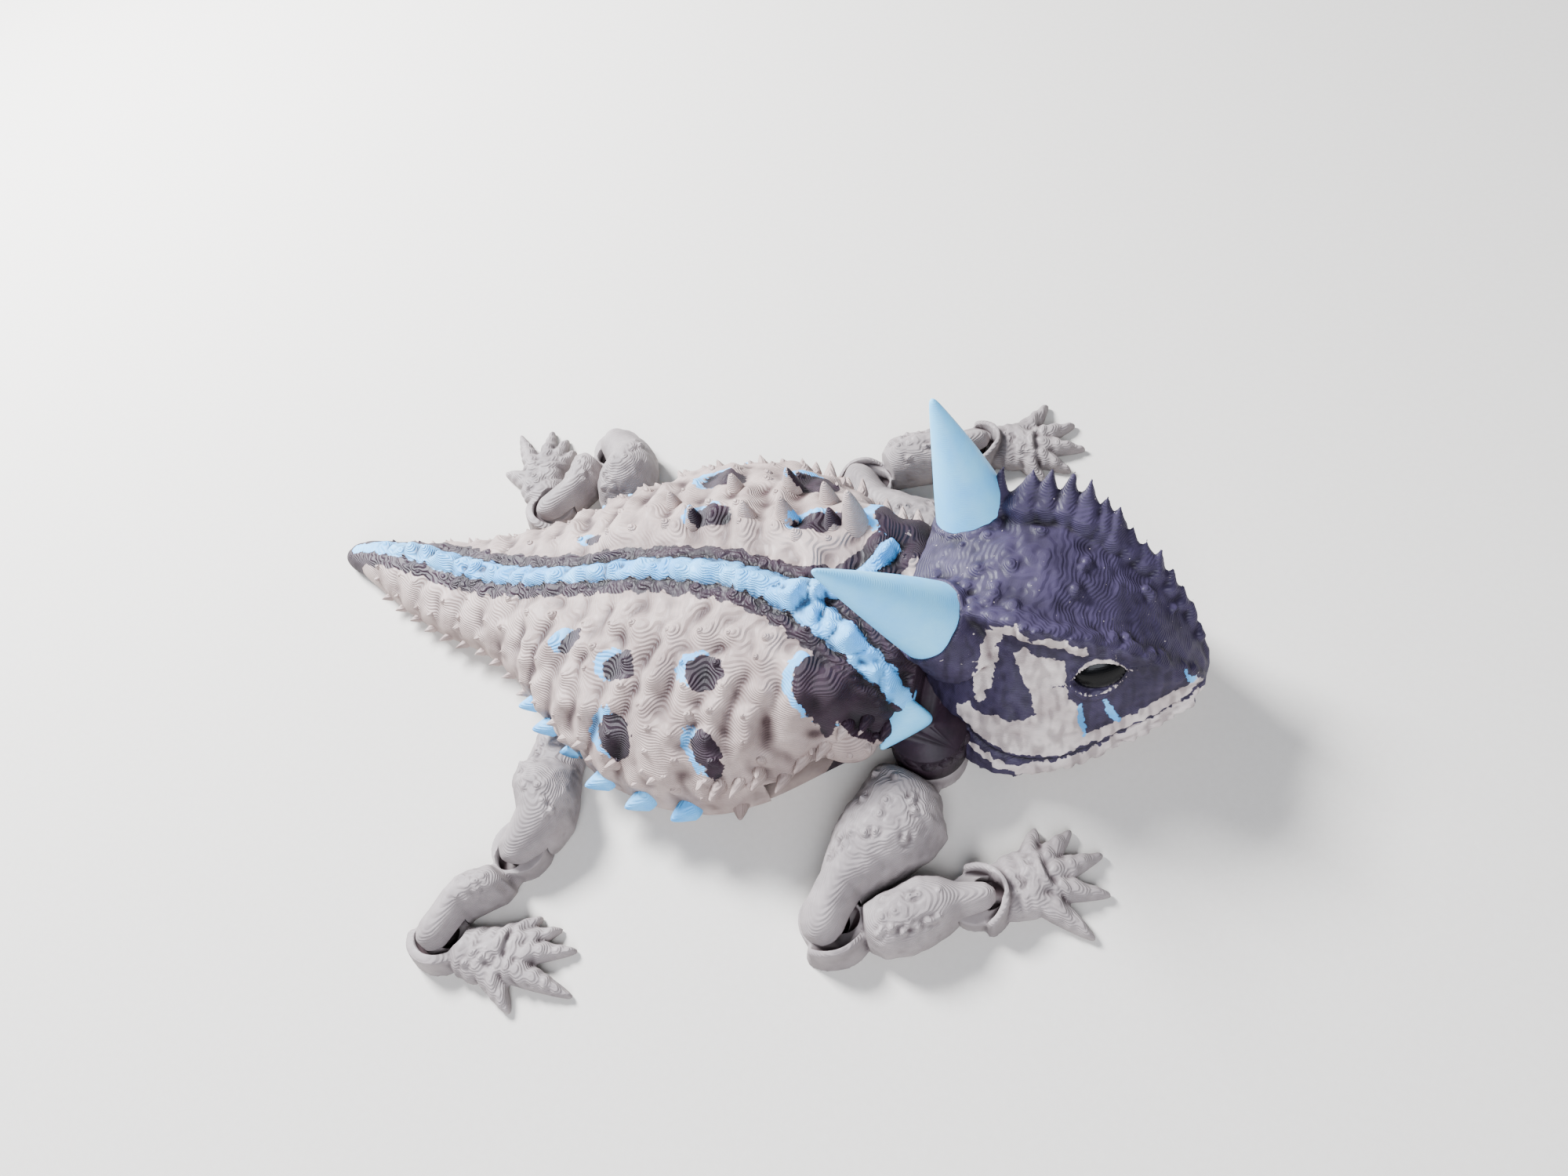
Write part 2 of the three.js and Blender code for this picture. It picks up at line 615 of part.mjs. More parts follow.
const PALM_TOP = 0.026 * LENGTH;
const TOE_FORM = [1.6, 1.8, 1.35, 0.3];

const frontFoot = foot({
  palm: [[1, 3.4, 3.4], [4.9, 4.6, 5.4], [8, 5.4, 6.2], [12, 4, 4]],
  toes: [[55, 10.3], [28, 12.6], [1, 14], [-27, 13.6], [-60, 13.4]],
});

const hindFoot = foot({
  palm: [[1, 2, 3.6], [4.9, 2, 6.6], [8, 2.8, 7.6], [12.5, 3, 3.6]],
  toes: [[-49, 11], [-14, 17.8], [11, 16.4], [27, 14], [43, 11.6]],
});

// Pose: heading of each leg's first link, then the bend at each joint after it, in degrees,
// for a right leg; a left leg is its mirror image
const LEGS = [
  { side: 'right', at: SHOULDER, pose: [-107, 127.5, 13], front: true },
  { side: 'left', at: SHOULDER, pose: [-134, 98.5, 27], front: true },
  { side: 'right', at: HIP, pose: [-90.5, -26.5, 122], front: false },
  { side: 'left', at: HIP, pose: [-117, -125, 127], front: false },
];

function leg({ side, at, pose, front }) {
  const links = front
    ? [['upper_arm', upperArm, ARM_LENGTH], ['forearm', forearm, FOREARM_LENGTH],
      ['front_foot', frontFoot, 0]]
    : [['thigh', thigh, THIGH_LENGTH], ['shin', shin, SHIN_LENGTH], ['hind_foot', hindFoot, 0]];
  const hand = side === 'left' ? -1 : 1;
  const group = new THREE.Group();
  group.position.set(at.x, hand * at.y, 0);
  let holder = group;
  links.forEach(([name, geometry, length], i) => {
    const turning = new THREE.Group();
    turning.rotation.z = hand * degToRad(pose[i]);
    if (i > 0) turning.position.x = links[i - 1][2];
    const shape = hand < 0 ? new THREE.BufferGeometry().copy(flipped(mirrored(geometry))) : geometry;
    turning.add(mesh(`${name}_${side}`, shape, DUSK));
    holder.add(turning);
    holder = turning;
    return length;
  });
  return group;
}

const toy = new THREE.Group();
toy.add(mesh('torso', torsoPiece(), SAND));
toy.add(mesh('tail', tailPiece(), SAND));
toy.add(mesh('head', headPiece(), PLUM));
for (const spot of HORNS) {
  toy.add(mesh(`horn_${spot.side}`, horn(spot, HORN_RADIUS, HORN_SINK), SKY));
}
for (const spot of COLLAR_SPIKES) {
  toy.add(mesh(`collar_spike_${spot.side}`, horn(spot, COLLAR_RADIUS, COLLAR_SINK), SKY));
}
toy.add(mesh('eye_right', finished(eyeShape(-1, 0)), BLACK));
toy.add(mesh('eye_left', finished(eyeShape(1, 0)), BLACK));
for (const spec of LEGS) toy.add(leg(spec));

export default toy;
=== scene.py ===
import math
import random

import bmesh
import bpy
import numpy as np
from mathutils import Matrix, Vector, noise


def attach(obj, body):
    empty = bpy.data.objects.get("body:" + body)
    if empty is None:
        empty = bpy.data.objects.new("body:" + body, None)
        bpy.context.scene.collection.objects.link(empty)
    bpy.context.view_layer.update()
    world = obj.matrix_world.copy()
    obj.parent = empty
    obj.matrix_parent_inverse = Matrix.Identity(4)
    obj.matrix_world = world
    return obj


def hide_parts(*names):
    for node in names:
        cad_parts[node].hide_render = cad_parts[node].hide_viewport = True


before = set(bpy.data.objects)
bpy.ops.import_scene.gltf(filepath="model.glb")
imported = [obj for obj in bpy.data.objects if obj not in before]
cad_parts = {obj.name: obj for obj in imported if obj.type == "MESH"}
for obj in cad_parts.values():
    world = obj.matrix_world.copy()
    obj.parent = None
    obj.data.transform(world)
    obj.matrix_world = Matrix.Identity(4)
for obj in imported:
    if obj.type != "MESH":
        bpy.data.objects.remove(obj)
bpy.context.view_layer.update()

# The back and tail: one stiff shell of sand-coloured PLA, printed on its belly in 0.2 mm layers, so
# that every shallow slope shows contour lines. Plum and light blue filament are printed into the
# same skin as the spine stripe, its dark borders and the spots. Everything is drawn in millimetres.
LENGTH = 173
TAIL_TIP = -0.52 * LENGTH
NECK = 0.22 * LENGTH
SKIN_END = NECK + 3.4
SKIN_RIM = 0.042 * LENGTH
BODY_FORM = LENGTH * np.array([  # place along, half width, height, and how far the middle lies to the left
    (-0.52, 0.012, 0.02, 0.05), (-0.49, 0.02, 0.034, 0.048), (-0.45, 0.03, 0.046, 0.038),
    (-0.4, 0.044, 0.055, 0.026), (-0.34, 0.06, 0.064, 0.017), (-0.28, 0.075, 0.074, 0.017),
    (-0.23, 0.094, 0.09, 0.014), (-0.18, 0.125, 0.105, 0.006), (-0.13, 0.158, 0.12, 0),
    (-0.07, 0.19, 0.138, 0), (-0.01, 0.204, 0.15, 0), (0.05, 0.2, 0.156, 0),
    (0.1, 0.175, 0.157, 0.002), (0.14, 0.143, 0.153, 0.005), (0.18, 0.115, 0.15, 0.01),
    (0.24, 0.1, 0.146, 0.02),
])
dice = random.Random(11)


def domed(x, left, right, rim, top, turn):
    """A section that is flat underneath, widest at the rim and domed on top."""
    across, up = np.cos(turn), np.sin(turn)
    under = np.clip(-2.1 * up, 0, 1)
    rise = np.maximum(up, 0) ** 0.85
    y = (left - right) / 2 + (left + right) / 2 * across * (1 - 0.1 * under)
    z = np.where(up >= 0, rim + (top - rim) * rise, rim * (1 - under))
    return np.stack([x + 0 * turn, y, z], -1)


def form_at(x, column):
    """One column of the body's form: 1 half width, 2 height, 3 how far its middle lies to the left."""
    return np.interp(x, BODY_FORM[:, 0], BODY_FORM[:, column])


def body_point(x, turn):
    """A point on the plain body, whose form is averaged over five places so that it runs smoothly."""
    half, top, middle = (sum(form_at(x + shift, k) for shift in (-2.4, -1.2, 0, 1.2, 2.4)) / 5
                         for k in (1, 2, 3))
    blunt = np.clip((x - TAIL_TIP) / 4, 0, 1)
    blunt = np.sqrt(1 - (1 - blunt) ** 2)
    rim = np.minimum(SKIN_RIM, 0.36 * top)
    point = domed(x, half + middle, half - middle, rim, top, turn)
    axis = np.stack([x + 0 * turn, middle + 0 * turn, rim + 0 * turn], -1)
    return axis + (point - axis) * blunt[..., None]


def body_out(x, turn):
    """The way straight out of the plain body."""
    along = body_point(x + 0.4, turn) - body_point(x - 0.4, turn)
    around = body_point(x, turn + 0.04) - body_point(x, turn - 0.04)
    out = np.cross(around, along)
    return out / (np.linalg.norm(out, axis=-1, keepdims=True) + 1e-9)


def wrapped(steps, sides, place):
    """A closed skin: a grid whose points go to place(along, round), with both ends drawn together."""
    shape = bmesh.new()
    bmesh.ops.create_grid(shape, x_segments=steps, y_segments=sides, size=0.5)
    at = np.array([vertex.co[:2] for vertex in shape.verts]) + 0.5
    for vertex, point in zip(shape.verts, place(at[:, 0], at[:, 1])):
        vertex.co = point
    bmesh.ops.remove_doubles(shape, verts=shape.verts, dist=1e-4)
    bmesh.ops.recalc_face_normals(shape, faces=shape.faces)
    return shape


def rough(points, size, offset=0.0):
    """Soft noise over points, about one lump for each size in millimetres."""
    return np.array([noise.noise(Vector(p) / size + Vector((offset, 0, 0))) for p in points])


def strip(points, path):
    """How far inside a strip each point is, and how far along; path holds x, y and half width."""
    inside, along = np.full(len(points), -99.0), np.zeros(len(points))
    run = 0.0
    for (ax, ay, a_half), (bx, by, b_half) in zip(path, path[1:]):
        step = np.array([bx - ax, by - ay])
        size = np.hypot(*step)
        t = np.clip((points[:, :2] - (ax, ay)) @ step / size ** 2, 0, 1)
        off = np.hypot(*(points[:, :2] - (ax, ay) - t[:, None] * step).T)
        depth = a_half + (b_half - a_half) * t - off
        along = np.where(depth > inside, run + t * size, along)
        inside = np.maximum(inside, depth)
        run += size
    return inside, along


# Paths of the marks, as x, y and half width: the stripe down the spine and its branch to the left
SPINE = [(-86, 8.4, 0.8), (-80, 8.7, 1.7), (-71, 7.8, 2.1), (-57, 4.3, 2.1), (-44, 1.8, 1.9),
         (-34, 0.8, 1.7), (-26, 1.1, 1.8), (-10, 1.4, 2.1), (3, 0.9, 2.3), (10, -0.4, 2.5),
         (16, -2.4, 2.8), (24, -6.6, 2.6), (30, -10.2, 2.2), (37, -14, 1.6)]
COLLAR = [(16, -1.6, 2.2), (24, 0.6, 1.8), (27.5, 4.5, 1.5), (30.5, 10, 1.4)]
SPOTS = [  # centre x, y, half length, half width, slant in degrees
    (-11.2, -17.2, 3.1, 2.6, 0), (5, -17.4, 3.3, 2.8, 10), (-9.4, -28, 3.9, 2.7, -38),
    (7.6, -28.9, 3.5, 2.0, -42), (-23, -12.6, 2.4, 2.0, 20), (24.6, -16.4, 4.6, 4.9, 0),
    (30, -16, 4.6, 4.6, 0), (-26.3, 8.6, 1.7, 1.2, 0), (-2.6, 12.6, 4.1, 2.3, 6),
    (17, 13.2, 4.4, 2.1, 14), (-5, 24, 4.6, 2.8, 0), (12.4, 25, 4.4, 3.2, 0), (29.5, 17, 3.6, 4.6, 0),
]
CRESCENT = (-1.6, 0.35)          # how far the blue edge of a spot lies behind it and to the left
BEAD_PITCH, NUB_PITCH = 4.3, 6.1
SHOULDER = (0.231 * LENGTH, -0.084 * LENGTH, 14, 46)      # a pin's place, and the leg's swing
HIP = (-0.147 * LENGTH, -0.0955 * LENGTH, -8, 32)


def spotted(points, shift=(0, 0), grow=0.0):
    """How far inside the nearest spot each point is, with the spots moved and grown a little."""
    best = np.full(len(points), -99.0)
    for x, y, long, wide, slant in SPOTS:
        dx, dy = points[:, 0] - x - shift[0], points[:, 1] - y - shift[1]
        c, s = math.cos(math.radians(slant)), math.sin(math.radians(slant))
        q = np.hypot((c * dx + s * dy) / (long + grow), (c * dy - s * dx) / (wide + grow))
        best = np.maximum(best, (1 - q) * (min(long, wide) + grow))
    return best


def beads(points, run):
    """The puffy, uneven beads along the stripe: 0 between two of them and 1 on top."""
    return np.abs(np.cos(math.pi * run / BEAD_PITCH + 2.4 * rough(points, 7, 5))) ** 0.7


def skin_marks(points):
    """Signed distances in millimetres for the plum and the light blue filament."""
    wobble = 0.5 * rough(points, 1.9) + 0.3 * rough(points, 0.8, 7)
    spine, run = strip(points, SPINE)
    collar, collar_run = strip(points, COLLAR)
    stripe = np.maximum(spine + 0.8 * beads(points, run), collar + 0.6 * beads(points, collar_run))
    stripe -= 0.45
    spots = spotted(points) + 1.3 * wobble
    tip = TAIL_TIP + 8 - points[:, 0] + 2 * wobble
    shoulder = 8.5 - np.hypot(points[:, 0] - SHOULDER[0] - 1, np.abs(points[:, 1]) - 15) + wobble
    plum = np.maximum.reduce([stripe + 2.7 + wobble, spots, tip, shoulder])
    crescents = np.minimum(spotted(points, CRESCENT, 0.25) + 1.1 * wobble, -spots)
    crescents = np.where(spine > -3.4, -1, crescents)
    blue = np.maximum(stripe + 0.25 * wobble, crescents)
    return plum, blue


def around(share):
    """The turn round the body, with most of the mesh on top."""
    return np.interp(share, (0, 0.1, 0.9, 1), (-0.5 * math.pi, 0, math.pi, 1.5 * math.pi))


def root_at(x, turn):
    """One place on the plain body, and the way out of it."""
    x, turn = np.array(float(x)), np.array(float(turn))
    return body_point(x, turn), body_out(x, turn)


# Nubs in rows, printed as part of the skin: where each stands, which way it leans, and its size
nubs = []
for x in np.arange(TAIL_TIP + 13, NECK - 4, NUB_PITCH):
    half = form_at(x, 1)
    count = max(2, round(half / 4.6))
    for k in range(count):
        for flank in (-1, 1):
            from_top = 0.24 + 1.14 * (k + 0.5 + dice.uniform(-0.2, 0.2)) / count
            base, out = root_at(x + dice.uniform(-1.6, 1.6), math.pi / 2 - flank * from_top)
            size = dice.uniform(0.8, 1.35) * np.interp(half, (4, 20), (0.7, 1.15))
            size *= 0.68 if x < -38 else 1.0
            size *= 1.45 if flank > 0 and -26 < x < 30 and k < 2 else 1.0
            nubs.append((base, out + np.array((-0.45, 0, 0.35)), size))


def skin_relief(points, flat):
    """How far the skin stands out of the plain form, in millimetres."""
    spine, run = strip(points, SPINE)
    collar, collar_run = strip(points, COLLAR)
    raised = 0.3 * np.cos(2 * math.pi * (points[:, 0] + 0.2 * np.abs(points[:, 1])) / NUB_PITCH)
    raised *= np.clip(-spine / 4 - 0.4, 0, 1)
    raised += 0.55 * rough(points, 6) + 0.26 * rough(points, 2.4, 3)
    raised += 0.9 * np.abs(rough(points, 2.1, 31)) * np.clip(1.6 - np.abs(spine + 1.2), 0, 1)
    for base, out, size in nubs:
        gap = np.linalg.norm(points - base, axis=1)
        raised += 0.8 * size * np.exp(-(gap / (1.5 * size)) ** 2)
    for depth, at, half in ((spine, run, 2.2), (collar, collar_run, 1.7)):
        across = np.clip(depth / half, 0, 1)
        puff = (1.3 + 1.5 * rough(points, 2.0, 15)) * (0.35 + 0.65 * beads(points, at)) + 0.35
        raised += puff * np.sqrt(across) * np.clip((points[:, 0] + 90) / 18, 0, 1)
    return raised * np.clip((points[:, 2] - 1.4) / 9, 0, 1) * (1 - flat)


def skin_place(along, share):
    """A point on the finished skin, which swells over the arms' slots and is drawn together at its ends."""
    x = TAIL_TIP + (SKIN_END - TAIL_TIP) * along
    turn = around(share)
    plain = body_point(x, turn)
    over_arm = np.exp(-((x - 28) / 9) ** 2 - ((np.abs(plain[:, 1]) - 18.5) / 6) ** 2)
    plain[:, 2] += 6.0 * over_arm * np.maximum(np.sin(turn), 0) ** 0.5
    ends = (along < 1e-6) | (along > 1 - 1e-6)
    centre = np.stack([x, form_at(x, 3), np.minimum(SKIN_RIM, 0.36 * form_at(x, 2))], -1)
    plain = np.where(ends[:, None], centre, plain)
    relief = skin_relief(plain, ends | (np.sin(turn) < 0))
    return plain + body_out(x, turn) * relief[:, None]


def drum(radius, low, high, x=0.0, y=0.0, top_radius=None, sides=48):
    """An upright disc or cone between two heights."""
    shape = bmesh.new()
    bmesh.ops.create_cone(shape, cap_ends=True, segments=sides, radius1=radius,
                          radius2=radius if top_radius is None else top_radius, depth=high - low,
                          matrix=Matrix.Translation((x, y, (low + high) / 2)))
    return shape


def bar(x, y, heading, start, end, half, low, high):
    """A box that runs out from a point on a heading."""
    shape = bmesh.new()
    place = (Matrix.Translation((x, y, (low + high) / 2)) @ Matrix.Rotation(heading, 4, "Z")
             @ Matrix.Translation(((start + end) / 2, 0, 0))
             @ Matrix.Diagonal((end - start, 2 * half, high - low, 1)))
    bmesh.ops.create_cube(shape, size=1, matrix=place)
    return shape


def bench(shape, *steps):
    """The shape after a list of modifiers, each given as its kind and its settings."""
    made, helpers = bpy.data.meshes.new("bench"), []
    shape.to_mesh(made)
    shape.free()
    held = bpy.data.objects.new("bench", made)
    bpy.context.scene.collection.objects.link(held)
    for kind, settings in steps:
        modifier = held.modifiers.new(kind, kind)
        for key, value in settings.items():
            if isinstance(value, bmesh.types.BMesh):
                tool = bpy.data.objects.new("tool", bpy.data.meshes.new("tool"))
                value.to_mesh(tool.data)
                value.free()
                bpy.context.scene.collection.objects.link(tool)
                helpers.append(tool)
                value = tool
            setattr(modifier, key, value)
    graph = bpy.context.evaluated_depsgraph_get()
    result = bpy.data.meshes.new_from_object(held.evaluated_get(graph))
    worked = bmesh.new()
    worked.from_mesh(result)
    for work in (held, *helpers):
        bpy.data.objects.remove(work)
    bpy.data.meshes.remove(result)
    return worked


def carved(shape, cuts=(), joins=()):
    """The shape with some tools cut out of it and others fused on."""
    steps = [("BOOLEAN", {"object": tool, "operation": work, "solver": "MANIFOLD"})
             for work, tools in (("DIFFERENCE", cuts), ("UNION", joins)) for tool in tools]
    return bench(shape, *steps)


def gathered(shapes):
    """Loose shapes put into one."""
    whole = bmesh.new()
    for shape in shapes:
        loose = bpy.data.meshes.new("loose")
        shape.to_mesh(loose)
        shape.free()
        whole.from_mesh(loose)
        bpy.data.meshes.remove(loose)
    return whole


def piece(name, shape, slot, material, body="torso", **marks):
    """A finished piece in metres; marks are values for each vertex, kept as attributes."""
    mesh = bpy.data.meshes.new(name)
    bmesh.ops.scale(shape, verts=shape.verts, vec=(0.001, 0.001, 0.001))
    for face in shape.faces:
        face.smooth = True
    shape.to_mesh(mesh)
    shape.free()
    for mark, values in marks.items():
        layer = mesh.attributes.new(mark, "FLOAT", "POINT")
        layer.data.foreach_set("value", np.asarray(values, np.float32))
    mesh.materials.append(material)
    made = bpy.data.objects.new(name, mesh)
    bpy.context.scene.collection.objects.link(made)
    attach(made, body)
    return made


def points_of(shape):
    return np.array([vertex.co[:] for vertex in shape.verts])


# The legs' rooms under the skin: round ones for the rings, and fans that the links swing through
PLAY = 0.45
ROOT = {"ring": 6.23, "foot": 3.7, "neck": 2.5, "height": 4.4}
ARM_TOP, THIGH_TOP, THIGH_ROOT_TOP = 0.069 * LENGTH, 0.065 * LENGTH, 0.037 * LENGTH
ARM_ROOM, THIGH_ROOM, THIGH_ROOT_ROOM = ARM_TOP + 0.5, THIGH_TOP + 0.5, THIGH_ROOT_TOP + 0.5
BLOCK_TOP = 0.067 * LENGTH
FLAP = (26, 17.8, 13.2)          # middle of the soft flap over an arm's slot


def mirrored(shape):
    """A right shape made a left one."""
    bmesh.ops.scale(shape, verts=shape.verts, vec=(1, -1, 1))
    bmesh.ops.reverse_faces(shape, faces=shape.faces)
    return shape


def fan(at, half, start, end, high):
    """Overlapping bars over the angles that a leg swings through."""
    x, y, forward, back = at
    count = 6
    turns = [math.radians(-90 - back + (back - forward) * k / (count - 1)) for k in range(count)]
    return [bar(x, y, turn, start, end, half + 0.5, -1, high) for turn in turns]


def leg_rooms():
    """The room that all four legs need, with play, as tools for carving."""
    rooms = []
    for at in (SHOULDER, HIP):
        rooms.append(drum(ROOT["ring"] + PLAY, -1, ROOT["height"] + PLAY, at[0], at[1]))
        rooms += fan(at, 4.7, 1, 7.4, ROOT["height"] + PLAY)
    rooms += fan(SHOULDER, 6.6, 6.4, 27.7, ARM_ROOM)
    rooms += fan(HIP, 5.6, 6.4, 27.7, THIGH_ROOT_ROOM)
    rooms += fan(HIP, 5.6, 13, 27.7, THIGH_ROOM)
    return rooms + [mirrored(room.copy()) for room in rooms]


def pin(size, top, x=0.0, y=0.0):
    """A flared foot that a ring can't slip over, and the neck that holds it from above."""
    shoulder = size["height"] + PLAY
    return [drum(size["foot"], 0, shoulder, x, y, size["neck"]),
            drum(size["neck"], shoulder - 0.3, top, x, y)]


def shoulder_block():
    """The stiff block under the head that carries both shoulder pins."""
    block = bar(SHOULDER[0] - 5, 0, 0, -7.5, 7.5, 13, 0, BLOCK_TOP)
    return [block] + [drum(6.4, 0, BLOCK_TOP, SHOULDER[0], side * SHOULDER[1]) for side in (-1, 1)]


skin = wrapped(300, 250, skin_place)
over_block = bar(NECK - 0.15, 0, 0, 0, 30, 40, BLOCK_TOP, 60)
pins = [p for at in (SHOULDER, HIP) for side in (-1, 1) for p in pin(ROOT, 6.5, at[0], side * at[1])]
flaps = []
for flank in (-1, 1):
    flap = bmesh.new()
    place = (Matrix.Translation((FLAP[0], flank * FLAP[1], FLAP[2]))
             @ Matrix.Rotation(flank * 0.5, 4, "Z") @ Matrix.Diagonal((7.5, 5.4, 3.4, 1)))
    bmesh.ops.create_icosphere(flap, subdivisions=4, radius=1, matrix=place)
    flaps.append(flap)
skin = carved(carved(skin, [over_block], shoulder_block() + flaps), leg_rooms(), pins)
points = points_of(skin)
plum_mark, blue_mark = skin_marks(points)


def linear(value):
    """An sRGB hex colour as linear red, green, blue and alpha."""
    parts = [int(value[k:k + 2], 16) / 255 for k in (1, 3, 5)]
    return (*(p / 12.92 if p <= 0.04045 else ((p + 0.055) / 1.055) ** 2.4 for p in parts), 1)


def add(tree, kind, settings=None, links=None):
    """Adds a node, sets its properties and inputs, and links sockets into its inputs."""
    node = tree.nodes.new(kind)
    for key, value in (settings or {}).items():
        if isinstance(key, str) and hasattr(node, key):
            setattr(node, key, value)
        else:
            node.inputs[key].default_value = value
    for key, socket in (links or {}).items():
        tree.links.new(socket, node.inputs[key])
    return node


LAYER = 0.00026    # drawn a little coarser than the real 0.2 mm, so that the lines still show
INKS = {  # the filaments that mark another one, light and shaded
    "sandy": ("#E0D3CD", "#B9AAA6"), "plum": ("#33222D", "#231820"), "blue": ("#78C8FF", "#4EA8EE"),
}


def printed_pla(name, light, shade, rough_value=0.52, layers=1.0, marked=()):
    """Matt PLA laid down in layers: fine contour lines, faint mottling, a low sheen and painted shade in its
    hollows.
    """
    material = bpy.data.materials.new(name)
    material.use_nodes = True
    tree = material.node_tree
    shader = tree.nodes["Principled BSDF"]
    place = add(tree, "ShaderNodeTexCoord").outputs["Object"]
    mottle = add(tree, "ShaderNodeTexNoise", {"Scale": 160, "Detail": 3, "Roughness": 0.6},
                 {"Vector": place}).outputs["Fac"]
    tone = add(tree, "ShaderNodeMapRange", {"From Min": 0.36, "From Max": 0.66},
               {"Value": mottle}).outputs[0]
    colour = add(tree, "ShaderNodeMix", {"data_type": "RGBA", 6: linear(light), 7: linear(shade)},
                 {0: tone}).outputs[2]
    fine = add(tree, "ShaderNodeTexNoise", {"Scale": 1400, "Detail": 2}, {"Vector": place}).outputs["Fac"]
    if marked:
        edge = add(tree, "ShaderNodeMath", {"operation": "MULTIPLY_ADD", 1: 0.9, 2: -0.45},
                   {0: fine}).outputs[0]
        for mark in marked:
            ink, dim = INKS[mark]
            value = add(tree, "ShaderNodeAttribute", {"attribute_name": mark}).outputs["Fac"]
            value = add(tree, "ShaderNodeMath", {"operation": "ADD"}, {0: value, 1: edge}).outputs[0]
            within = add(tree, "ShaderNodeMapRange", {"From Min": -0.06, "From Max": 0.06},
                         {"Value": value}).outputs[0]
            inked = add(tree, "ShaderNodeMix", {"data_type": "RGBA", 6: linear(ink), 7: linear(dim)},
                        {0: tone}).outputs[2]
            colour = add(tree, "ShaderNodeMix", {"data_type": "RGBA"},
                         {0: within, 6: colour, 7: inked}).outputs[2]
    # Painted shade: the 'hollow' attribute multiplies the colour towards #6E6064 where the surface is sunken.
    painted_hollow_shade = add(tree, "ShaderNodeAttribute", {"attribute_name": "hollow"}).outputs["Fac"]
    dusk = {"data_type": "RGBA", "blend_type": "MULTIPLY", 7: linear("#6E6064")}
    colour = add(tree, "ShaderNodeMix", dusk, {0: painted_hollow_shade, 6: colour}).outputs[2]
    tree.links.new(colour, shader.inputs["Base Color"])
    shader.inputs["IOR"].default_value = 1.46
    shader.inputs["Specular IOR Level"].default_value = 0.3
    sheen = add(tree, "ShaderNodeMapRange", {"To Min": rough_value - 0.06, "To Max": rough_value + 0.08},
                {"Value": mottle}).outputs[0]
    tree.links.new(sheen, shader.inputs["Roughness"])
    height = add(tree, "ShaderNodeSeparateXYZ", {}, {0: place}).outputs["Z"]
    sway = add(tree, "ShaderNodeMath", {"operation": "MULTIPLY_ADD", 1: 0.00016},
               {0: mottle, 2: height}).outputs[0]
    layer = add(tree, "ShaderNodeMath", {"operation": "PINGPONG", 1: LAYER / 2}, {0: sway}).outputs[0]
    ridge = add(tree, "ShaderNodeMath", {"operation": "MULTIPLY", 1: 2 / LAYER}, {0: layer}).outputs[0]
    lines = add(tree, "ShaderNodeBump", {"Strength": 0.8 * layers, "Distance": 0.00015},
                {"Height": ridge}).outputs["Normal"]
    grain = add(tree, "ShaderNodeBump", {"Strength": 0.25, "Distance": 0.00006},
                {"Height": fine, "Normal": lines}).outputs["Normal"]
    tree.links.new(grain, shader.inputs["Normal"])
    return material


sand_pla = printed_pla("printed sand PLA", "#B8A49C", "#95827C", marked=("plum", "blue"))


SMOOTHINGS, DEEPEST = 12, 0.28


def hollows(shape):
    """How sunken each vertex is against a smoothed copy of the shape, from 0 to 1, which sets its painted
    shade.
    """
    shape.normal_update()
    shape.verts.index_update()
    pairs = np.array([[v.index for v in e.verts] for e in shape.edges])
    at = points_of(shape)
    out = np.array([v.normal[:] for v in shape.verts])
    smooth = at.copy()
    count = np.bincount(pairs.ravel(), minlength=len(at))[:, None] + 1e-9
    for _ in range(SMOOTHINGS):
        total = [sum(np.bincount(pairs[:, a], smooth[pairs[:, 1 - a], k], len(at)) for a in (0, 1))
                 for k in range(3)]
        smooth = np.stack(total, -1) / count
    depth = np.einsum("ij,ij->i", smooth - at, out)
    return np.clip(depth / DEEPEST, 0, 1)


# The back's creases and hollows get painted shade through its 'hollow' attribute.
back = piece("back_skin", skin, "sand", sand_pla, plum=plum_mark, blue=blue_mark, hollow=hollows(skin))
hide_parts("torso", "tail")


def stood(base, aim):
    """The matrix that stands a shape at base with its Z along aim."""
    return Matrix.Translation(Vector(base)) @ Vector(aim).to_track_quat("Z", "Y").to_matrix().to_4x4()


def thorn(base, aim, length, radius, blunt=0.3, subdivisions=2):
    """A rounded spike with its root sunk in the skin, tapering to a soft point."""
    shape = bmesh.new()
    bmesh.ops.create_icosphere(shape, subdivisions=subdivisions, radius=1)
    for vertex in shape.verts:
        up = vertex.co.z
        slim = 1 - (1 - blunt) * max(up, 0) ** 0.8
        vertex.co = Vector((vertex.co.x * radius * slim, vertex.co.y * radius * slim,
                            up * (length if up > 0 else 0.7 * length)))
    bmesh.ops.transform(shape, verts=shape.verts, matrix=stood(base, Vector(aim).normalized()))
    return shape


small_thorns = [thorn(base, aim, 1.3 * size, 1.02 * size, 0.4) for base, aim, size in nubs]
for x, turn, high in ((23.5, 1.05, 8.6), (19.6, 1.12, 4.6), (4, 1.2, 4.4), (11, 1.16, 5), (-6, 1.22, 3.8),
                      (17, 0.9, 5), (-1, 0.95, 3.9), (9, 0.85, 4.4), (-12, 1.05, 3.4)):
    tall, _ = root_at(x, turn)
    small_thorns.append(thorn(tall, (-0.2, 0.35, 0.9), high, 0.24 * high + 1, 0.5, 3))
nub_shape = gathered(small_thorns)
plum_mark, blue_mark = skin_marks(points_of(nub_shape))
piece("back_nubs", nub_shape, "sand", sand_pla, plum=plum_mark, blue=blue_mark - 0.3, hollow=0 * plum_mark)

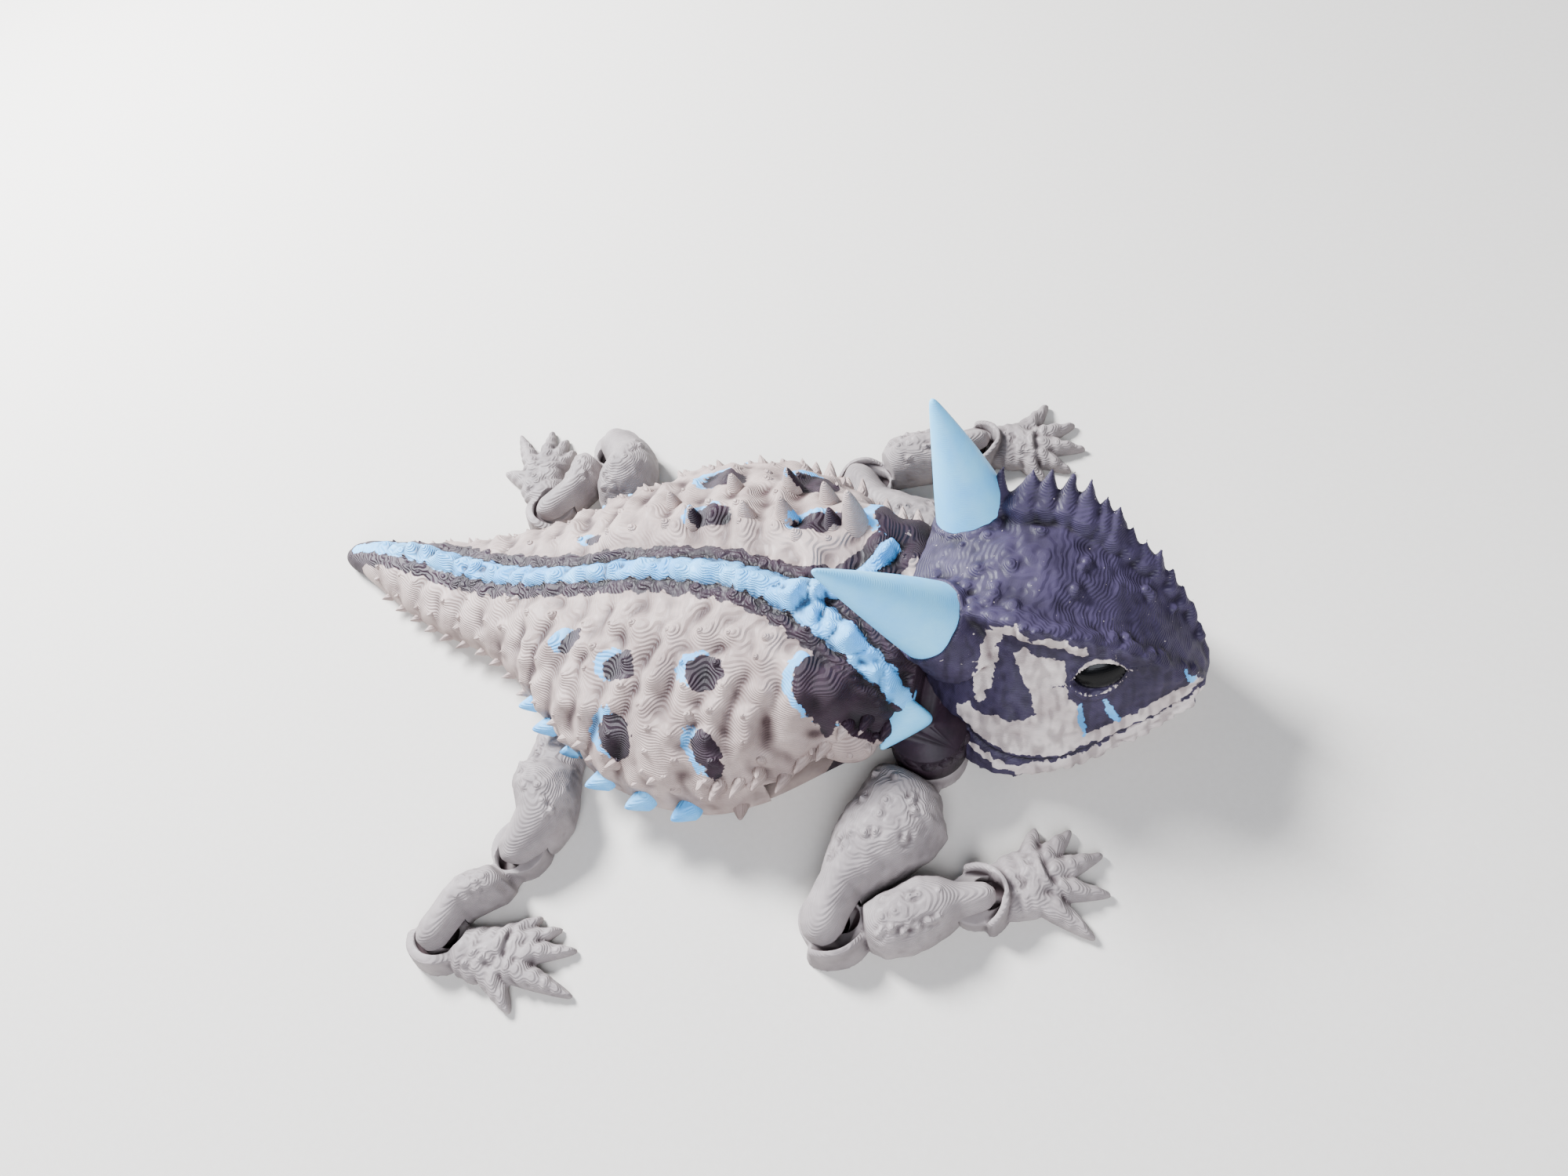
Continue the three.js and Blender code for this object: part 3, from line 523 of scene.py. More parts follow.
# The fringe: pointed scales along both edges of the body, printed with it. Those towards the tail are
# light blue and those by the shoulder are sand. Small ones edge the tail, the skin over the arms' slots
# and its flaps, and ring the shoulders.
SHOULDER_CAP = (40, 14.5)
EDGE_SCALES = [  # place along the body, and size
    (-31.6, 3.4), (-26.4, 3.9), (-19.9, 4.2), (-12.6, 4.2), (-4.4, 4.3), (3.8, 4.4),
    (12.2, 4.0), (19.6, 3.6), (24.6, 3.2),
]
sky_scales, sand_scales = [], []
for x, size in EDGE_SCALES:
    for flank in (-1, 1):
        turn = 0.06 if flank > 0 else math.pi - 0.06
        base, out = root_at(x, turn)
        blue_scale = x < 8
        aim = out + np.array((-0.75 if blue_scale else -0.15, 0, 0.3))
        wide = (0.47 if blue_scale else 0.36) * size
        (sky_scales if blue_scale else sand_scales).append(thorn(base, aim, 0.85 * size, 1.08 * wide, 0.5, 3))
        upper, _ = root_at(x + 3.4, turn + flank * 0.3)
        sand_scales.append(thorn(upper, out + np.array((-0.3, 0, 0.5)), 0.55 * size, 0.3 * size))
for x in np.arange(TAIL_TIP + 16, -34, 4.4):
    for flank in (-1, 1):
        turn = 0.05 if flank > 0 else math.pi - 0.05
        base, out = root_at(x, turn)
        sand_scales.append(thorn(base, out + np.array((-0.5, 0, 0.3)), dice.uniform(1.6, 2.3), 0.95))
for flank in (-1, 1):
    for x in np.arange(9.5, 35, 3.1):
        turn = 0.24 + dice.uniform(0, 0.1)
        share = 0.1 + 0.8 * (turn if flank > 0 else math.pi - turn) / math.pi
        base = skin_place(np.array([(x - TAIL_TIP) / (SKIN_END - TAIL_TIP)]), np.array([share]))[0]
        length, radius = dice.uniform(2.2, 4.0), dice.uniform(1.1, 1.5)
        sand_scales.append(thorn(base, (-0.2, flank, 0.15), length, radius, 0.4))
    for k in range(7):
        turn = math.radians(-25 * k + 10)
        base = Vector((FLAP[0] + 7.2 * math.cos(turn), flank * (FLAP[1] - 5 * math.sin(turn)), 14))
        sand_scales.append(thorn(base, (math.cos(turn), -flank * math.sin(turn), 0.4), 1.5, 1.25, 0.45))
    for k in range(7):
        turn = math.radians(30 - 27 * k)
        base = Vector((SHOULDER_CAP[0] + 5.9 * math.cos(turn),
                       flank * (SHOULDER_CAP[1] - 5.9 * math.sin(turn)), dice.uniform(9, 11)))
        sand_scales.append(thorn(base, (math.cos(turn), -flank * math.sin(turn), 0.9), 1.3, 1.5, 0.5))
for name, scales, blue in (("sky_fringe_scales", sky_scales, 2.0), ("sand_fringe_scales", sand_scales, -2.0)):
    scales = carved(gathered(scales), leg_rooms())
    plum_mark, _ = skin_marks(points_of(scales))
    piece(name, scales, "sand", sand_pla, plum=plum_mark, blue=blue + 0 * plum_mark, hollow=0 * plum_mark)

# The head: a helmet of plum PLA printed with the body, flat under the jaw, with a crest of conical
# spikes down both sides of the crown. Sand filament marks the cheeks, the lips and a jagged line
# under the crest, and light blue runs down in short streaks below the eyes.
HEAD_FORM = LENGTH * np.array([  # place ahead, half widths at jaw and crest, top, and underside
    (-0.016, 0.068, 0.05, 0.158, 0), (0, 0.078, 0.052, 0.168, 0), (0.03, 0.11, 0.062, 0.18, 0),
    (0.065, 0.13, 0.068, 0.188, 0), (0.105, 0.132, 0.071, 0.19, 0), (0.14, 0.117, 0.065, 0.179, 0),
    (0.17, 0.094, 0.057, 0.164, 0), (0.2, 0.069, 0.047, 0.145, 0.007),
    (0.224, 0.049, 0.037, 0.122, 0.019), (0.243, 0.032, 0.025, 0.097, 0.032),
    (0.253, 0.018, 0.014, 0.08, 0.044), (0.257, 0.008, 0.007, 0.069, 0.055),
])
HEAD_PLACE = (Matrix.Translation((NECK + 0.15, 0.046 * LENGTH, 0))
              @ Matrix.Rotation(math.radians(-6), 4, "Z"))
JAW_RISE = 0.026 * LENGTH


def mix(a, b, share):
    """The value that lies a share of the way from a to b."""
    return a + (b - a) * share


def head_section(form):
    """Half a section from under the middle, out to the jaw, and up over the crest to the crown."""
    ahead, jaw, crest, high, low = form
    jaw_high = min(low + JAW_RISE, 0.5 * (low + high))
    half = [(0, low), (0.55 * jaw, low), (0.95 * jaw, jaw_high - 2), (jaw, jaw_high + 1),
            (mix(jaw, crest, 0.42), mix(jaw_high, high, 0.45)), (crest + 0.8, mix(jaw_high, high, 0.83)),
            (crest, high), (0.6 * crest, high - 0.8), (0, high - 0.3)]
    whole = half + [(-y, z) for y, z in half[7:0:-1]]
    return [(ahead, y, max(z, 0)) for y, z in whole]


def eased(knots, at, closed):
    """A smooth curve through evenly spaced knots."""
    first = np.floor(at).astype(int)
    t = (at - first).reshape(-1, *[1] * (knots.ndim - 1))
    last = len(knots) - 1
    a, b, c, d = (knots[(first + k) % len(knots) if closed else np.clip(first + k, 0, last)]
                  for k in (-1, 0, 1, 2))
    return b + 0.5 * t * (c - a + t * (2 * a - 5 * b + 4 * c - d + t * (3 * (b - c) + d - a)))


HEAD_STEPS, HEAD_SIDES = 110, 160
CORNERS = len(head_section(HEAD_FORM[0]))
head_rings = np.array([head_section(form) for form in HEAD_FORM]).transpose(1, 0, 2)
head_rings = eased(head_rings, np.linspace(0, CORNERS, HEAD_SIDES + 1), True).transpose(1, 0, 2)
head_net = eased(head_rings, np.linspace(0, len(HEAD_FORM) - 1 - 1e-9, HEAD_STEPS + 1), False)


def head_place(along, share):
    """A point on the helmet's plain form."""
    i, j = np.rint(along * HEAD_STEPS).astype(int), np.rint(share * HEAD_SIDES).astype(int)
    point = head_net[i, j].copy()
    middle = head_net.mean(axis=1)[i]
    ends = ((i == 0) | (i == HEAD_STEPS))[:, None]
    point = np.where(ends, middle, point)
    point[:, 2] = np.maximum(point[:, 2], 0)
    return point


CREST_CORNER, JAW_CORNER = 6, 2
CREST = [  # place along the head's stations, and size, of each spike
    (1.9, 4.2), (2.35, 4.6), (3.15, 6.2), (3.55, 5.4), (4.05, 4.9), (4.5, 5.2), (5.0, 4.2), (5.4, 4.4),
    (5.9, 3.7), (6.35, 3.6), (6.8, 2.9), (7.3, 2.8), (7.8, 2.3), (8.3, 2.0), (8.9, 1.6),
]


def crest_at(step, flank, corner=CREST_CORNER):
    """A place on the crest's edge, or on another corner of the head's section."""
    knots = np.array([head_section(form)[corner] for form in HEAD_FORM])
    x, y, z = eased(knots, np.array([float(step)]), False)[0]
    return Vector((x, flank * y, z))


# High spikes along the left crest, lower lumps along the right one, then the jaw's edge and the crown
head_parts = [wrapped(HEAD_STEPS, HEAD_SIDES, head_place)]
for step, size in CREST:
    tooth = crest_at(step, 1) - Vector((0, 0.9, 1.2))
    length = size * dice.uniform(0.75, 1.25) + 1.2
    head_parts.append(thorn(tooth, (0.05, 0.75, 1), length, 0.6 * size + 0.3, 0.08, 3))
    head_parts.append(thorn(tooth - Vector((0.9, 0.6, 0.3)), (-0.1, 0.5, 1), 0.6 * size, 0.5 * size, 0.12, 3))
    for _ in range(2 if step > 3.8 else 0):
        lump = crest_at(step + dice.uniform(-0.3, 0.3), -1) + Vector((0, dice.uniform(0.2, 1.6), -1.1))
        head_parts.append(thorn(lump, (-0.15, -0.6, 0.9), 0.26 * size + 1.1, 0.24 * size + 0.7, 0.35, 3))
for step in np.arange(1.6, 9.2, 0.42):
    for flank in (-1, 1):
        jaw_edge = crest_at(step, flank, JAW_CORNER)
        head_parts.append(thorn(jaw_edge, (-0.3, flank, 0.1), dice.uniform(1.2, 1.9), 1.15, 0.35))
for _ in range(34):
    step, inward = dice.uniform(1.2, 8), dice.uniform(0, 1)
    spot = crest_at(step, dice.choice((-1, 1)))
    spot.y *= 0.85 * inward
    length, radius = dice.uniform(0.3, 0.8), dice.uniform(0.8, 1.4)
    head_parts.append(thorn(spot - Vector((0, 0, 0.5)), (-0.3, 0, 1), length, radius, 0.5))

# The cones that stand in the head. Only the two horns have a raised seat round their base.
HORNS = {  # base, tip, radius, how deep the root goes, and a slight bend
    "horn_right": ((41, -3.5, 26), (25.1, -10.2, 48), 0.0395 * LENGTH, 1.6, (0.5, 0.2, -0.4)),
    "horn_left": ((43.4, 17, 26), (35.9, 24, 48), 0.0395 * LENGTH, 1.6, (0.5, -0.3, 0)),
    "collar_spike_right": ((37.5, -13, 14.5), (33.5, -20, 12), 0.0225 * LENGTH, 1.2, (0, 0, 0.3)),
    "collar_spike_left": ((30, 12, 17), (31.2, 19, 19.5), 0.0225 * LENGTH, 1.2, (0, 0, 0.2)),
}
for name in ("horn_right", "horn_left"):
    base, tip, radius = HORNS[name][:3]
    aim = (Vector(tip) - Vector(base)).normalized()
    seat = drum(radius + 1.5, -5, 2.9, top_radius=radius + 0.1)
    bmesh.ops.transform(seat, verts=seat.verts, matrix=HEAD_PLACE.inverted() @ stood(base, aim))
    head_parts.append(seat)

EYE_A, EYE_Z = 29.2, 22.2        # the eyes' middle: ahead of the neck, and height
EYE_LONG, EYE_HIGH = 4.1, 2.9    # half length and half height of the opening


def eye_reach(ahead, high):
    """1 on the almond edge of the eye opening, less inside it, seen from the side."""
    da, dz = ahead - EYE_A, high - EYE_Z
    c, s = math.cos(0.1), math.sin(0.1)
    u, w = c * da + s * dz, c * dz - s * da
    wide = EYE_HIGH * np.clip(1 - np.abs(u / EYE_LONG) ** 2.4, 0.02, 1)
    return np.maximum(np.abs(u) / EYE_LONG, np.abs(w) / wide)


# Marks on the side of the head: distance ahead of the neck, height and, but for CHEEK, half width
MOUTH = [(9.5, 11.2, 0.22), (14, 9.2, 0.28), (20, 7.4, 0.3), (26.5, 6.2, 0.3), (34, 7.2, 0.28),
         (40.5, 9.6, 0.26), (45, 12, 0.2)]
ZIGZAG = [(12.0, 18.6, 1.1), (12.4, 22.5, 1.7), (12.8, 27, 1.2), (13.6, 31, 1.0), (16.6, 32, 0.9),
          (19.4, 30.2, 0.8), (21.6, 30.6, 1.3), (24.6, 29.2, 1.2), (27, 27.6, 0.7)]
CHEEK = [(8.0, 14.2), (10.2, 16), (12.6, 14.8), (15, 16), (18, 15.4), (21, 16.6), (19.4, 21.5),
         (16.6, 27), (18, 28.4), (20.8, 26.4), (24, 26), (24.6, 21.5), (25.6, 18.6), (27, 17), (27.6, 13),
         (28.6, 9.6), (26, 7.2), (18.5, 8.8), (12, 11), (8.6, 12.4)]
LIP = [(27, 8.6, 1.1), (32, 9.1, 1.3), (37, 10.6, 1.4), (41, 12.4, 1.4), (44.5, 14.6, 1.2)]
CHIN = [(21, 4.4, 2.4), (28, 3.4, 2.6), (35, 4.6, 2.5), (43, 8.4, 2.4)]
JAW_DASH = [(11, 8.1, 0.5), (17, 6.0, 0.8), (20, 5.2, 1)]
TEARS = [[(27.2, 16.9, 0.3), (27.6, 13.4, 0.42), (28.6, 9.6, 0.2)],
         [(30.6, 16.6, 0.3), (31.8, 13, 0.42), (33.2, 10.6, 0.2)],
         [(41, 19.6, 0.15), (42, 16.5, 0.4), (42.8, 14.2, 0.25)]]


def within(points, corners):
    """Signed distance to a closed outline, positive inside."""
    inside, near = np.zeros(len(points), bool), np.full(len(points), 99.0)
    for (ax, ay), (bx, by) in zip(corners, corners[1:] + corners[:1]):
        step = np.array([bx - ax, by - ay])
        t = np.clip((points - (ax, ay)) @ step / (step @ step), 0, 1)
        near = np.minimum(near, np.hypot(*(points - (ax, ay) - t[:, None] * step).T))
        if ay != by:
            crossing = (points[:, 1] > min(ay, by)) & (points[:, 1] <= max(ay, by))
            inside ^= crossing & (points[:, 0] < ax + (points[:, 1] - ay) * (bx - ax) / (by - ay))
    return np.where(inside, near, -near)


head = bench(gathered(head_parts), ("REMESH", {"mode": "VOXEL", "voxel_size": 0.33}),
             ("SMOOTH", {"factor": 0.5, "iterations": 2}))
points = points_of(head)
head.normal_update()
normals = np.array([vertex.normal[:] for vertex in head.verts])
side = points[:, [0, 2]]
flanks = np.clip((normals[:, 1] * np.sign(points[:, 1]) - 0.25) / 0.2, 0, 1)
flanks *= (np.abs(points[:, 1]) > 7.5) | (points[:, 2] < 20)
mouth, _ = strip(side, MOUTH)
eye = eye_reach(side[:, 0], side[:, 1])
relief = 0.34 * rough(points, 4.5) + 0.24 * rough(points, 1.7, 4)
ripples = np.cos(2 * math.pi * points[:, 0] / 1.9 + 1.8 * rough(points, 5, 9))
relief += flanks * 0.05 * ripples * (points[:, 2] < 17)
relief -= 0.5 * np.clip(mouth / 0.3 + 0.7, 0, 1) * (flanks > 0)
relief *= np.clip((points[:, 2] - 0.6) / 1.5, 0, 1)
lids = 0.75 * np.exp(-((eye - 1.16) / 0.17) ** 2) + 0.35 * np.exp(-((eye - 1.55) / 0.15) ** 2)
lids = lids + 0.3 * relief - 0.9 * np.clip(1.2 - eye ** 2, 0, 1)
relief = np.where((flanks > 0) & (eye < 1.8), lids, relief)
for vertex, normal, out in zip(head.verts, normals, relief):
    vertex.co += Vector(normal) * out
wobble = 0.8 * rough(points, 1.5, 2) + 0.45 * rough(points, 0.7, 5)
streaks = 0.5 * rough(points * np.array((1.0, 1.0, 0.18)), 0.9, 8)
sandy = np.maximum.reduce([within(side, CHEEK) + streaks, strip(side, ZIGZAG)[0] + wobble,
                           strip(side, LIP)[0] + wobble, strip(side, CHIN)[0] + wobble,
                           strip(side, JAW_DASH)[0] + wobble])
rim = 0.28 - np.abs(eye - 1.13) * 2.4 + 0.35 * (points[:, 2] > EYE_Z) - 0.2
sandy = np.where(eye < 1.6, rim + 0.25 * wobble, sandy)
sandy = np.where(mouth > -0.3, np.minimum(sandy, -mouth - 0.12 + 0.7 * wobble), sandy)
sandy = np.where(flanks > 0, sandy, -1)
beneath = (normals[:, 2] < -0.7) & (points[:, 0] > 16)
sandy = np.where(beneath, 1, sandy)
flecks = rough(points, 0.5, 12) - 0.7
flecks = np.where((points[:, 2] > 20) & (eye > 1.6), flecks, -1)
sandy = np.maximum(sandy, flecks)
tears = np.maximum.reduce([strip(side, tear)[0] for tear in TEARS]) + 0.35 * wobble
tears = np.where(flanks > 0, tears, -1)
# Painted shade in the head's hollows, joined by darker vertical streaks on its flanks; both darken the plum
# through the 'hollow' attribute.
streaky = np.clip(1.6 * rough(points * np.array((1.0, 1.0, 0.12)), 1.1, 21), 0, 0.45) * (flanks > 0)
sunk = np.maximum(hollows(head), streaky)
bmesh.ops.transform(head, verts=head.verts, matrix=HEAD_PLACE)
plum_pla = printed_pla("printed plum PLA", "#3C344C", "#2B2438", layers=0.6, marked=("sandy", "blue"))
head = piece("helmet_head", head, "plum", plum_pla, sandy=sandy, blue=tears, hollow=sunk)
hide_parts("head")

# Horns and collar spikes: four plain cones of light blue PLA printed into the head, the smoothest
# parts of the toy. Their steep sides hide the layers, so they look silky and a little waxy.
sky_pla = printed_pla("printed light blue PLA", "#80D6FF", "#6CC8FF", rough_value=0.42, layers=0.25)


def horn(base, tip, radius, sink, bend):
    """A cone turned round its own axis, with a soft tip, and bent a little."""
    base, tip = Vector(base), Vector(tip)
    length = (tip - base).length
    outline = [(0, -sink), (0.9 * radius, -sink), (radius, 0), (0.965 * radius, 0.08), (0.9 * radius, 0.18),
               (0.78 * radius, 0.33), (0.62 * radius, 0.5), (0.44 * radius, 0.68), (0.25 * radius, 0.85),
               (0.13 * radius, 0.95), (0.075 * radius, 0.985), (0, 1)]
    shape = bmesh.new()
    rim = [shape.verts.new((r, 0, high * (length if high > 0 else 1))) for r, high in outline]
    edges = [shape.edges.new(pair) for pair in zip(rim, rim[1:])]
    bmesh.ops.spin(shape, geom=rim + edges, cent=(0, 0, 0), axis=(0, 0, 1), angle=2 * math.pi, steps=40,
                   use_merge=True)
    bmesh.ops.remove_doubles(shape, verts=shape.verts, dist=1e-4)
    bmesh.ops.recalc_face_normals(shape, faces=shape.faces)
    bmesh.ops.transform(shape, verts=shape.verts, matrix=stood(base, tip - base))
    aim = (tip - base).normalized()
    for vertex in shape.verts:
        t = min(max((vertex.co - base).dot(aim) / length, 0), 1)
        vertex.co += Vector(bend) * (4 * t * (1 - t))
    return bench(shape, ("SUBSURF", {"levels": 2, "render_levels": 2}))


for name, sizes in HORNS.items():
    shape = horn(*sizes)
    cone = piece(f"smooth_{name}", shape, "sky", sky_pla, hollow=[0.0] * len(shape.verts))
    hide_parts(name)

# Eyes: flattened balls of black PLA, printed into the almond openings of the head and left glossy, so
# that they catch a small highlight. Each sits a little under its lids.
eye_black = printed_pla("printed black PLA", "#020203", "#050507", rough_value=0.22, layers=0.05)
for name, flank in (("eye_right", -1), ("eye_left", 1)):
    ball = bmesh.new()
    bmesh.ops.create_uvsphere(ball, u_segments=48, v_segments=28, radius=1)
    place = (HEAD_PLACE @ Matrix.Translation((EYE_A, flank * 10.5, EYE_Z))
             @ Matrix.Rotation(flank * -0.5, 4, "Z") @ Matrix.Rotation(flank * 0.34, 4, "X")
             @ Matrix.Diagonal((4.3, 1.8, 3.2, 1)))
    bmesh.ops.transform(ball, verts=ball.verts, matrix=place)
    ball = piece(f"glossy_{name}", ball, "black", eye_black, hollow=[0.0] * len(ball.verts))
    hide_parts(name)
eye_black.node_tree.nodes["Principled BSDF"].inputs["Specular IOR Level"].default_value = 0.16

# Legs: four of three links each, in greyer PLA, printed flat in place. Each link ends in a cap with
# a flared pin that hangs in the next one's ring, so the legs swing over the table but can't be
# pulled apart. Round knobs, low cups round the joints and wrinkled palms are part of the print.
BEND = {"ring": 5.1, "foot": 3.1, "neck": 2.0, "height": 4.3}
FOOT = {"ring": 4.33, "foot": 2.6, "neck": 1.7, "height": 3.5}
CAP = 0.0225 * LENGTH
ROOT_CLEAR = 6.93          # where a leg's full height starts from its pin
ARM, FOREARM, THIGH, SHIN = (share * LENGTH for share in (0.194, 0.133, 0.166, 0.108))
dusk_pla = printed_pla("printed dusk PLA", "#9A908E", "#7F7675", layers=0.8)


def lofted(rows, rim=0.3, steps=60, sides=56):
    """A link's body from stations of x, left and right half width, and height."""
    rows = np.array(rows)

    def place(along, share):
        x = mix(rows[0, 0], rows[-1, 0], along)
        left, right, top = (np.interp(x, rows[:, 0], rows[:, k]) for k in (1, 2, 3))
        point = domed(x, left, right, rim * top, top, around(share))
        ends = ((along < 1e-6) | (along > 1 - 1e-6))[:, None]
        return np.where(ends, np.stack([x, (left - right) / 2, rim * top], -1), point)

    return wrapped(steps, sides, place)


CUP_POSTS = 19


def cup(start, end, high, reach, thick):
    """A low wall round part of a ring, drawn as posts that are fused afterwards."""
    posts = []
    for k in range(CUP_POSTS):
        turn = math.radians(mix(start, end, k / (CUP_POSTS - 1)))
        taper = 0.72 + 0.28 * math.sin(math.pi * k / (CUP_POSTS - 1))
        posts.append(drum(thick, 0, high * taper, reach * math.cos(turn), reach * math.sin(turn),
                          0.55 * thick, 16))
    return posts


def knobs(rows, count, start, end, size=1.0):
    """Round knobs scattered over the upper side of a link, each with the place of its root."""
    rows, made = np.array(rows), []
    for k in range(count):
        x = mix(start, end, (k + 0.5 + dice.uniform(-0.3, 0.3)) / count)
        left, right, top = (np.interp(x, rows[:, 0], rows[:, j]) for j in (1, 2, 3))
        turn = math.pi * dice.uniform(0.24, 0.76)
        base = domed(np.array(x), left, right, 0.3 * top, top, np.array(turn))
        out = Vector((-0.2, math.cos(turn), math.sin(turn) + 0.4))
        length, radius = size * dice.uniform(0.35, 0.7), size * dice.uniform(0.4, 0.62)
        made.append((thorn(base, out, length, radius, 0.45), base))
    return made


def limb(parts, spots, root, length=None, tip=None, cap_top=0.0, cap=CAP, wrinkle=0.0):
    """One printed link: its parts, knobs and ring fused and given their skin, a bore for the pin that it
    hangs on and, but for a foot, a cap with the pin for the next link."""
    parts = [*parts, drum(root["ring"], 0, root["height"]), *(knob for knob, _ in spots)]
    shape = bench(gathered(parts), ("REMESH", {"mode": "VOXEL", "voxel_size": 0.3}),
                  ("SMOOTH", {"factor": 0.5, "iterations": 3}))
    points = points_of(shape)
    shape.normal_update()
    calm = np.clip((points[:, 2] - 0.8) / 1.5, 0, 1)
    for x, radius in ((0, root["ring"] + 1.2), *([(length, 6.4)] if tip else [])):
        calm *= np.clip((np.hypot(points[:, 0] - x, points[:, 1]) - radius) / 2, 0, 1)
    relief = 0.24 * rough(points, 3.2) + 0.16 * rough(points, 1.3, 6) - 0.06
    for _, base in spots:
        gap = np.linalg.norm(points - base, axis=1)
        relief -= 0.12 * np.exp(-((gap - 1.0) / 0.35) ** 2)
    if wrinkle:
        folds = np.cos(2 * math.pi * points[:, 0] / 2.3 + 2.6 * rough(points, 3.4, 2))
        relief += wrinkle * folds * (points[:, 0] > 4)
    for vertex, out in zip(shape.verts, relief * calm):
        vertex.co += vertex.normal * out
    flare = (root["foot"] - root["neck"]) / (root["height"] + PLAY)
    hole = drum(root["foot"] + PLAY + flare, -1, root["height"] + 1, 0, 0,
                root["foot"] + PLAY - flare * (root["height"] + 1))
    cuts, joins = [hole], []
    if root is not ROOT:
        cuts += [drum(cap + PLAY, root["height"], 14), drum(2.7, root["height"] - 2, 14, 2.2)]
    if tip:
        cuts.append(drum(tip["ring"] + PLAY, -1, tip["height"] + PLAY, length))
        joins = pin(tip, cap_top - 1, length)
    return carved(shape, cuts, joins)


# Stations of the links: place along, half width to the left and to the right, and height
UPPER_ARM_ROWS = [
    (2, 4.4, 4.4, 4.4), (6.6, 4.6, 4.6, 4.4), (ROOT_CLEAR, 6, 6, 9), (9, 7.2, 6.3, 11.1),
    (13, 10.4, 6.5, 11.9), (17, 9.7, 6.9, 11.9), (20.5, 7.9, 6.8, 11.4), (24, 5.8, 6.2, 10.4),
    (ARM - 5.4, 3.0, 5.1, 9.4), (ARM - 2, 2.9, 4.9, 8.9), (ARM + 1, 3.3, 4.8, 8.4),
    (ARM + 3, 2.9, 4.0, 7.8), (ARM + 4.3, 1.9, 2.6, 7.0), (ARM + 5, 0.9, 1.2, 6.2),
]
FOREARM_ROWS = [
    (2, 3.6, 3.6, 4.3), (5.3, 1.6, 4.6, 4.3), (5.7, 1.7, 5.8, 7.4), (8, 2.5, 7.3, 9), (12, 3.9, 7.3, 9.3),
    (15, 4.9, 6.5, 9), (18, 4.3, 5.0, 8.2), (FOREARM - 2.4, 3, 3.1, 7), (FOREARM, 2.7, 2.8, 6.6),
    (FOREARM + 2, 2.4, 2.4, 6.2), (FOREARM + 3.7, 0.9, 0.9, 5),
]
THIGH_ROWS = [
    (2, 4.4, 4.4, 4.4), (6.6, 4.6, 4.6, 4.4), (ROOT_CLEAR, 5.2, 5.4, THIGH_ROOT_TOP),
    (13, 5.3, 5.5, THIGH_ROOT_TOP), (15.5, 6.3, 5.6, 9.6), (19, 7.7, 5.1, THIGH_TOP),
    (THIGH - 5.4, 8, 2.4, 10.4), (THIGH - 2, 6.8, 3.0, 9.2), (THIGH + 1, 4.8, 3.7, 8.2),
    (THIGH + 2.8, 3.2, 2.6, 7.2), (THIGH + 3.8, 1.3, 1.1, 6),
]
SHIN_ROWS = [
    (2, 3.6, 3.6, 4.3), (5.3, 4, 2, 4.3), (5.7, 4.7, 1.9, 7), (8, 5, 3.1, 8.2), (10.5, 3.8, 4.5, 8.2),
    (SHIN - 5, 2.3, 4.4, 7.8), (SHIN - 1.5, 2.8, 3.9, 7.3), (SHIN + 1, 3.2, 3.7, 7.0),
    (SHIN + 2.6, 2.5, 2.9, 6.5), (SHIN + 3.8, 1.1, 1.3, 5.8),
]


def toe(heading, length, x, y):
    """A tapering toe with a pointed end, turned to its heading and set on the palm."""
    rows = [(-2, 2.5, 2.5, 4.4), (0.3 * length, 2.4, 2.4, 4.0), (0.5 * length, 2.1, 2.1, 3.6),
            (0.68 * length, 1.6, 1.6, 3.0), (0.84 * length, 1.05, 1.05, 2.3),
            (0.94 * length, 0.6, 0.6, 1.8), (length, 0.25, 0.25, 1.3)]
    shape = lofted(rows, 0.32, 30, 24)
    bmesh.ops.transform(shape, verts=shape.verts, matrix=Matrix.Translation((x, y, 0))
                        @ Matrix.Rotation(math.radians(heading), 4, "Z"))
    return shape


PALM_TOP = 4.7


def foot(palm, toes, wall):
    """A wrinkled palm on its ring, with toes given as heading and length from the palm."""
    rows = [(x, left, right, FOOT["height"] if x < 4.6 else PALM_TOP) for x, left, right in palm]
    x, y = palm[-2][0], (palm[-2][1] - palm[-2][2]) / 2
    parts = [lofted(rows), *wall, *(toe(heading, length, x, y) for heading, length in toes)]
    return limb(parts, knobs(rows, 5, 6, 11, 0.8), FOOT, wrinkle=0.13)


LINKS = {
    "upper_arm": limb([lofted(UPPER_ARM_ROWS)], knobs(UPPER_ARM_ROWS, 17, 9, 26, 1.15),
                      ROOT, ARM, BEND, 7.8),
    "forearm": limb([lofted(FOREARM_ROWS), *cup(-124, -36, 5.7, 5.3, 1.9)], knobs(FOREARM_ROWS, 17, 7, 18),
                    BEND, FOREARM, FOOT, 6.6, 5.0),
    "front_foot": foot([(1, 3.4, 3.4), (4.9, 4.6, 5.4), (8, 5.4, 6.2), (12, 4, 4)],
                       [(55, 10.3), (28, 12.6), (1, 14), (-27, 13.6), (-60, 13.4)],
                       cup(-80, 80, 6.2, 4.9, 1.05)),
    "thigh": limb([lofted(THIGH_ROWS)], knobs(THIGH_ROWS, 13, 9, 25), ROOT, THIGH, BEND, 7.8),
    "shin": limb([lofted(SHIN_ROWS)], knobs(SHIN_ROWS, 8, 7, 13, 0.85), BEND, SHIN, FOOT, 6.4),
    "hind_foot": foot([(1, 2, 3.6), (4.9, 1.7, 6.6), (8, 2.2, 7.6), (12.5, 2.8, 3.6)],
                      [(-49, 11), (-14, 17.8), (11, 16.4), (27, 14), (43, 11.6)],
                      cup(-166, -44, 4.7, 4.9, 1.8)),
}
# Painted shade: each link's hollows are darkened through its 'hollow' attribute.
LINK_HOLLOWS = {name: hollows(shape) for name, shape in LINKS.items()}
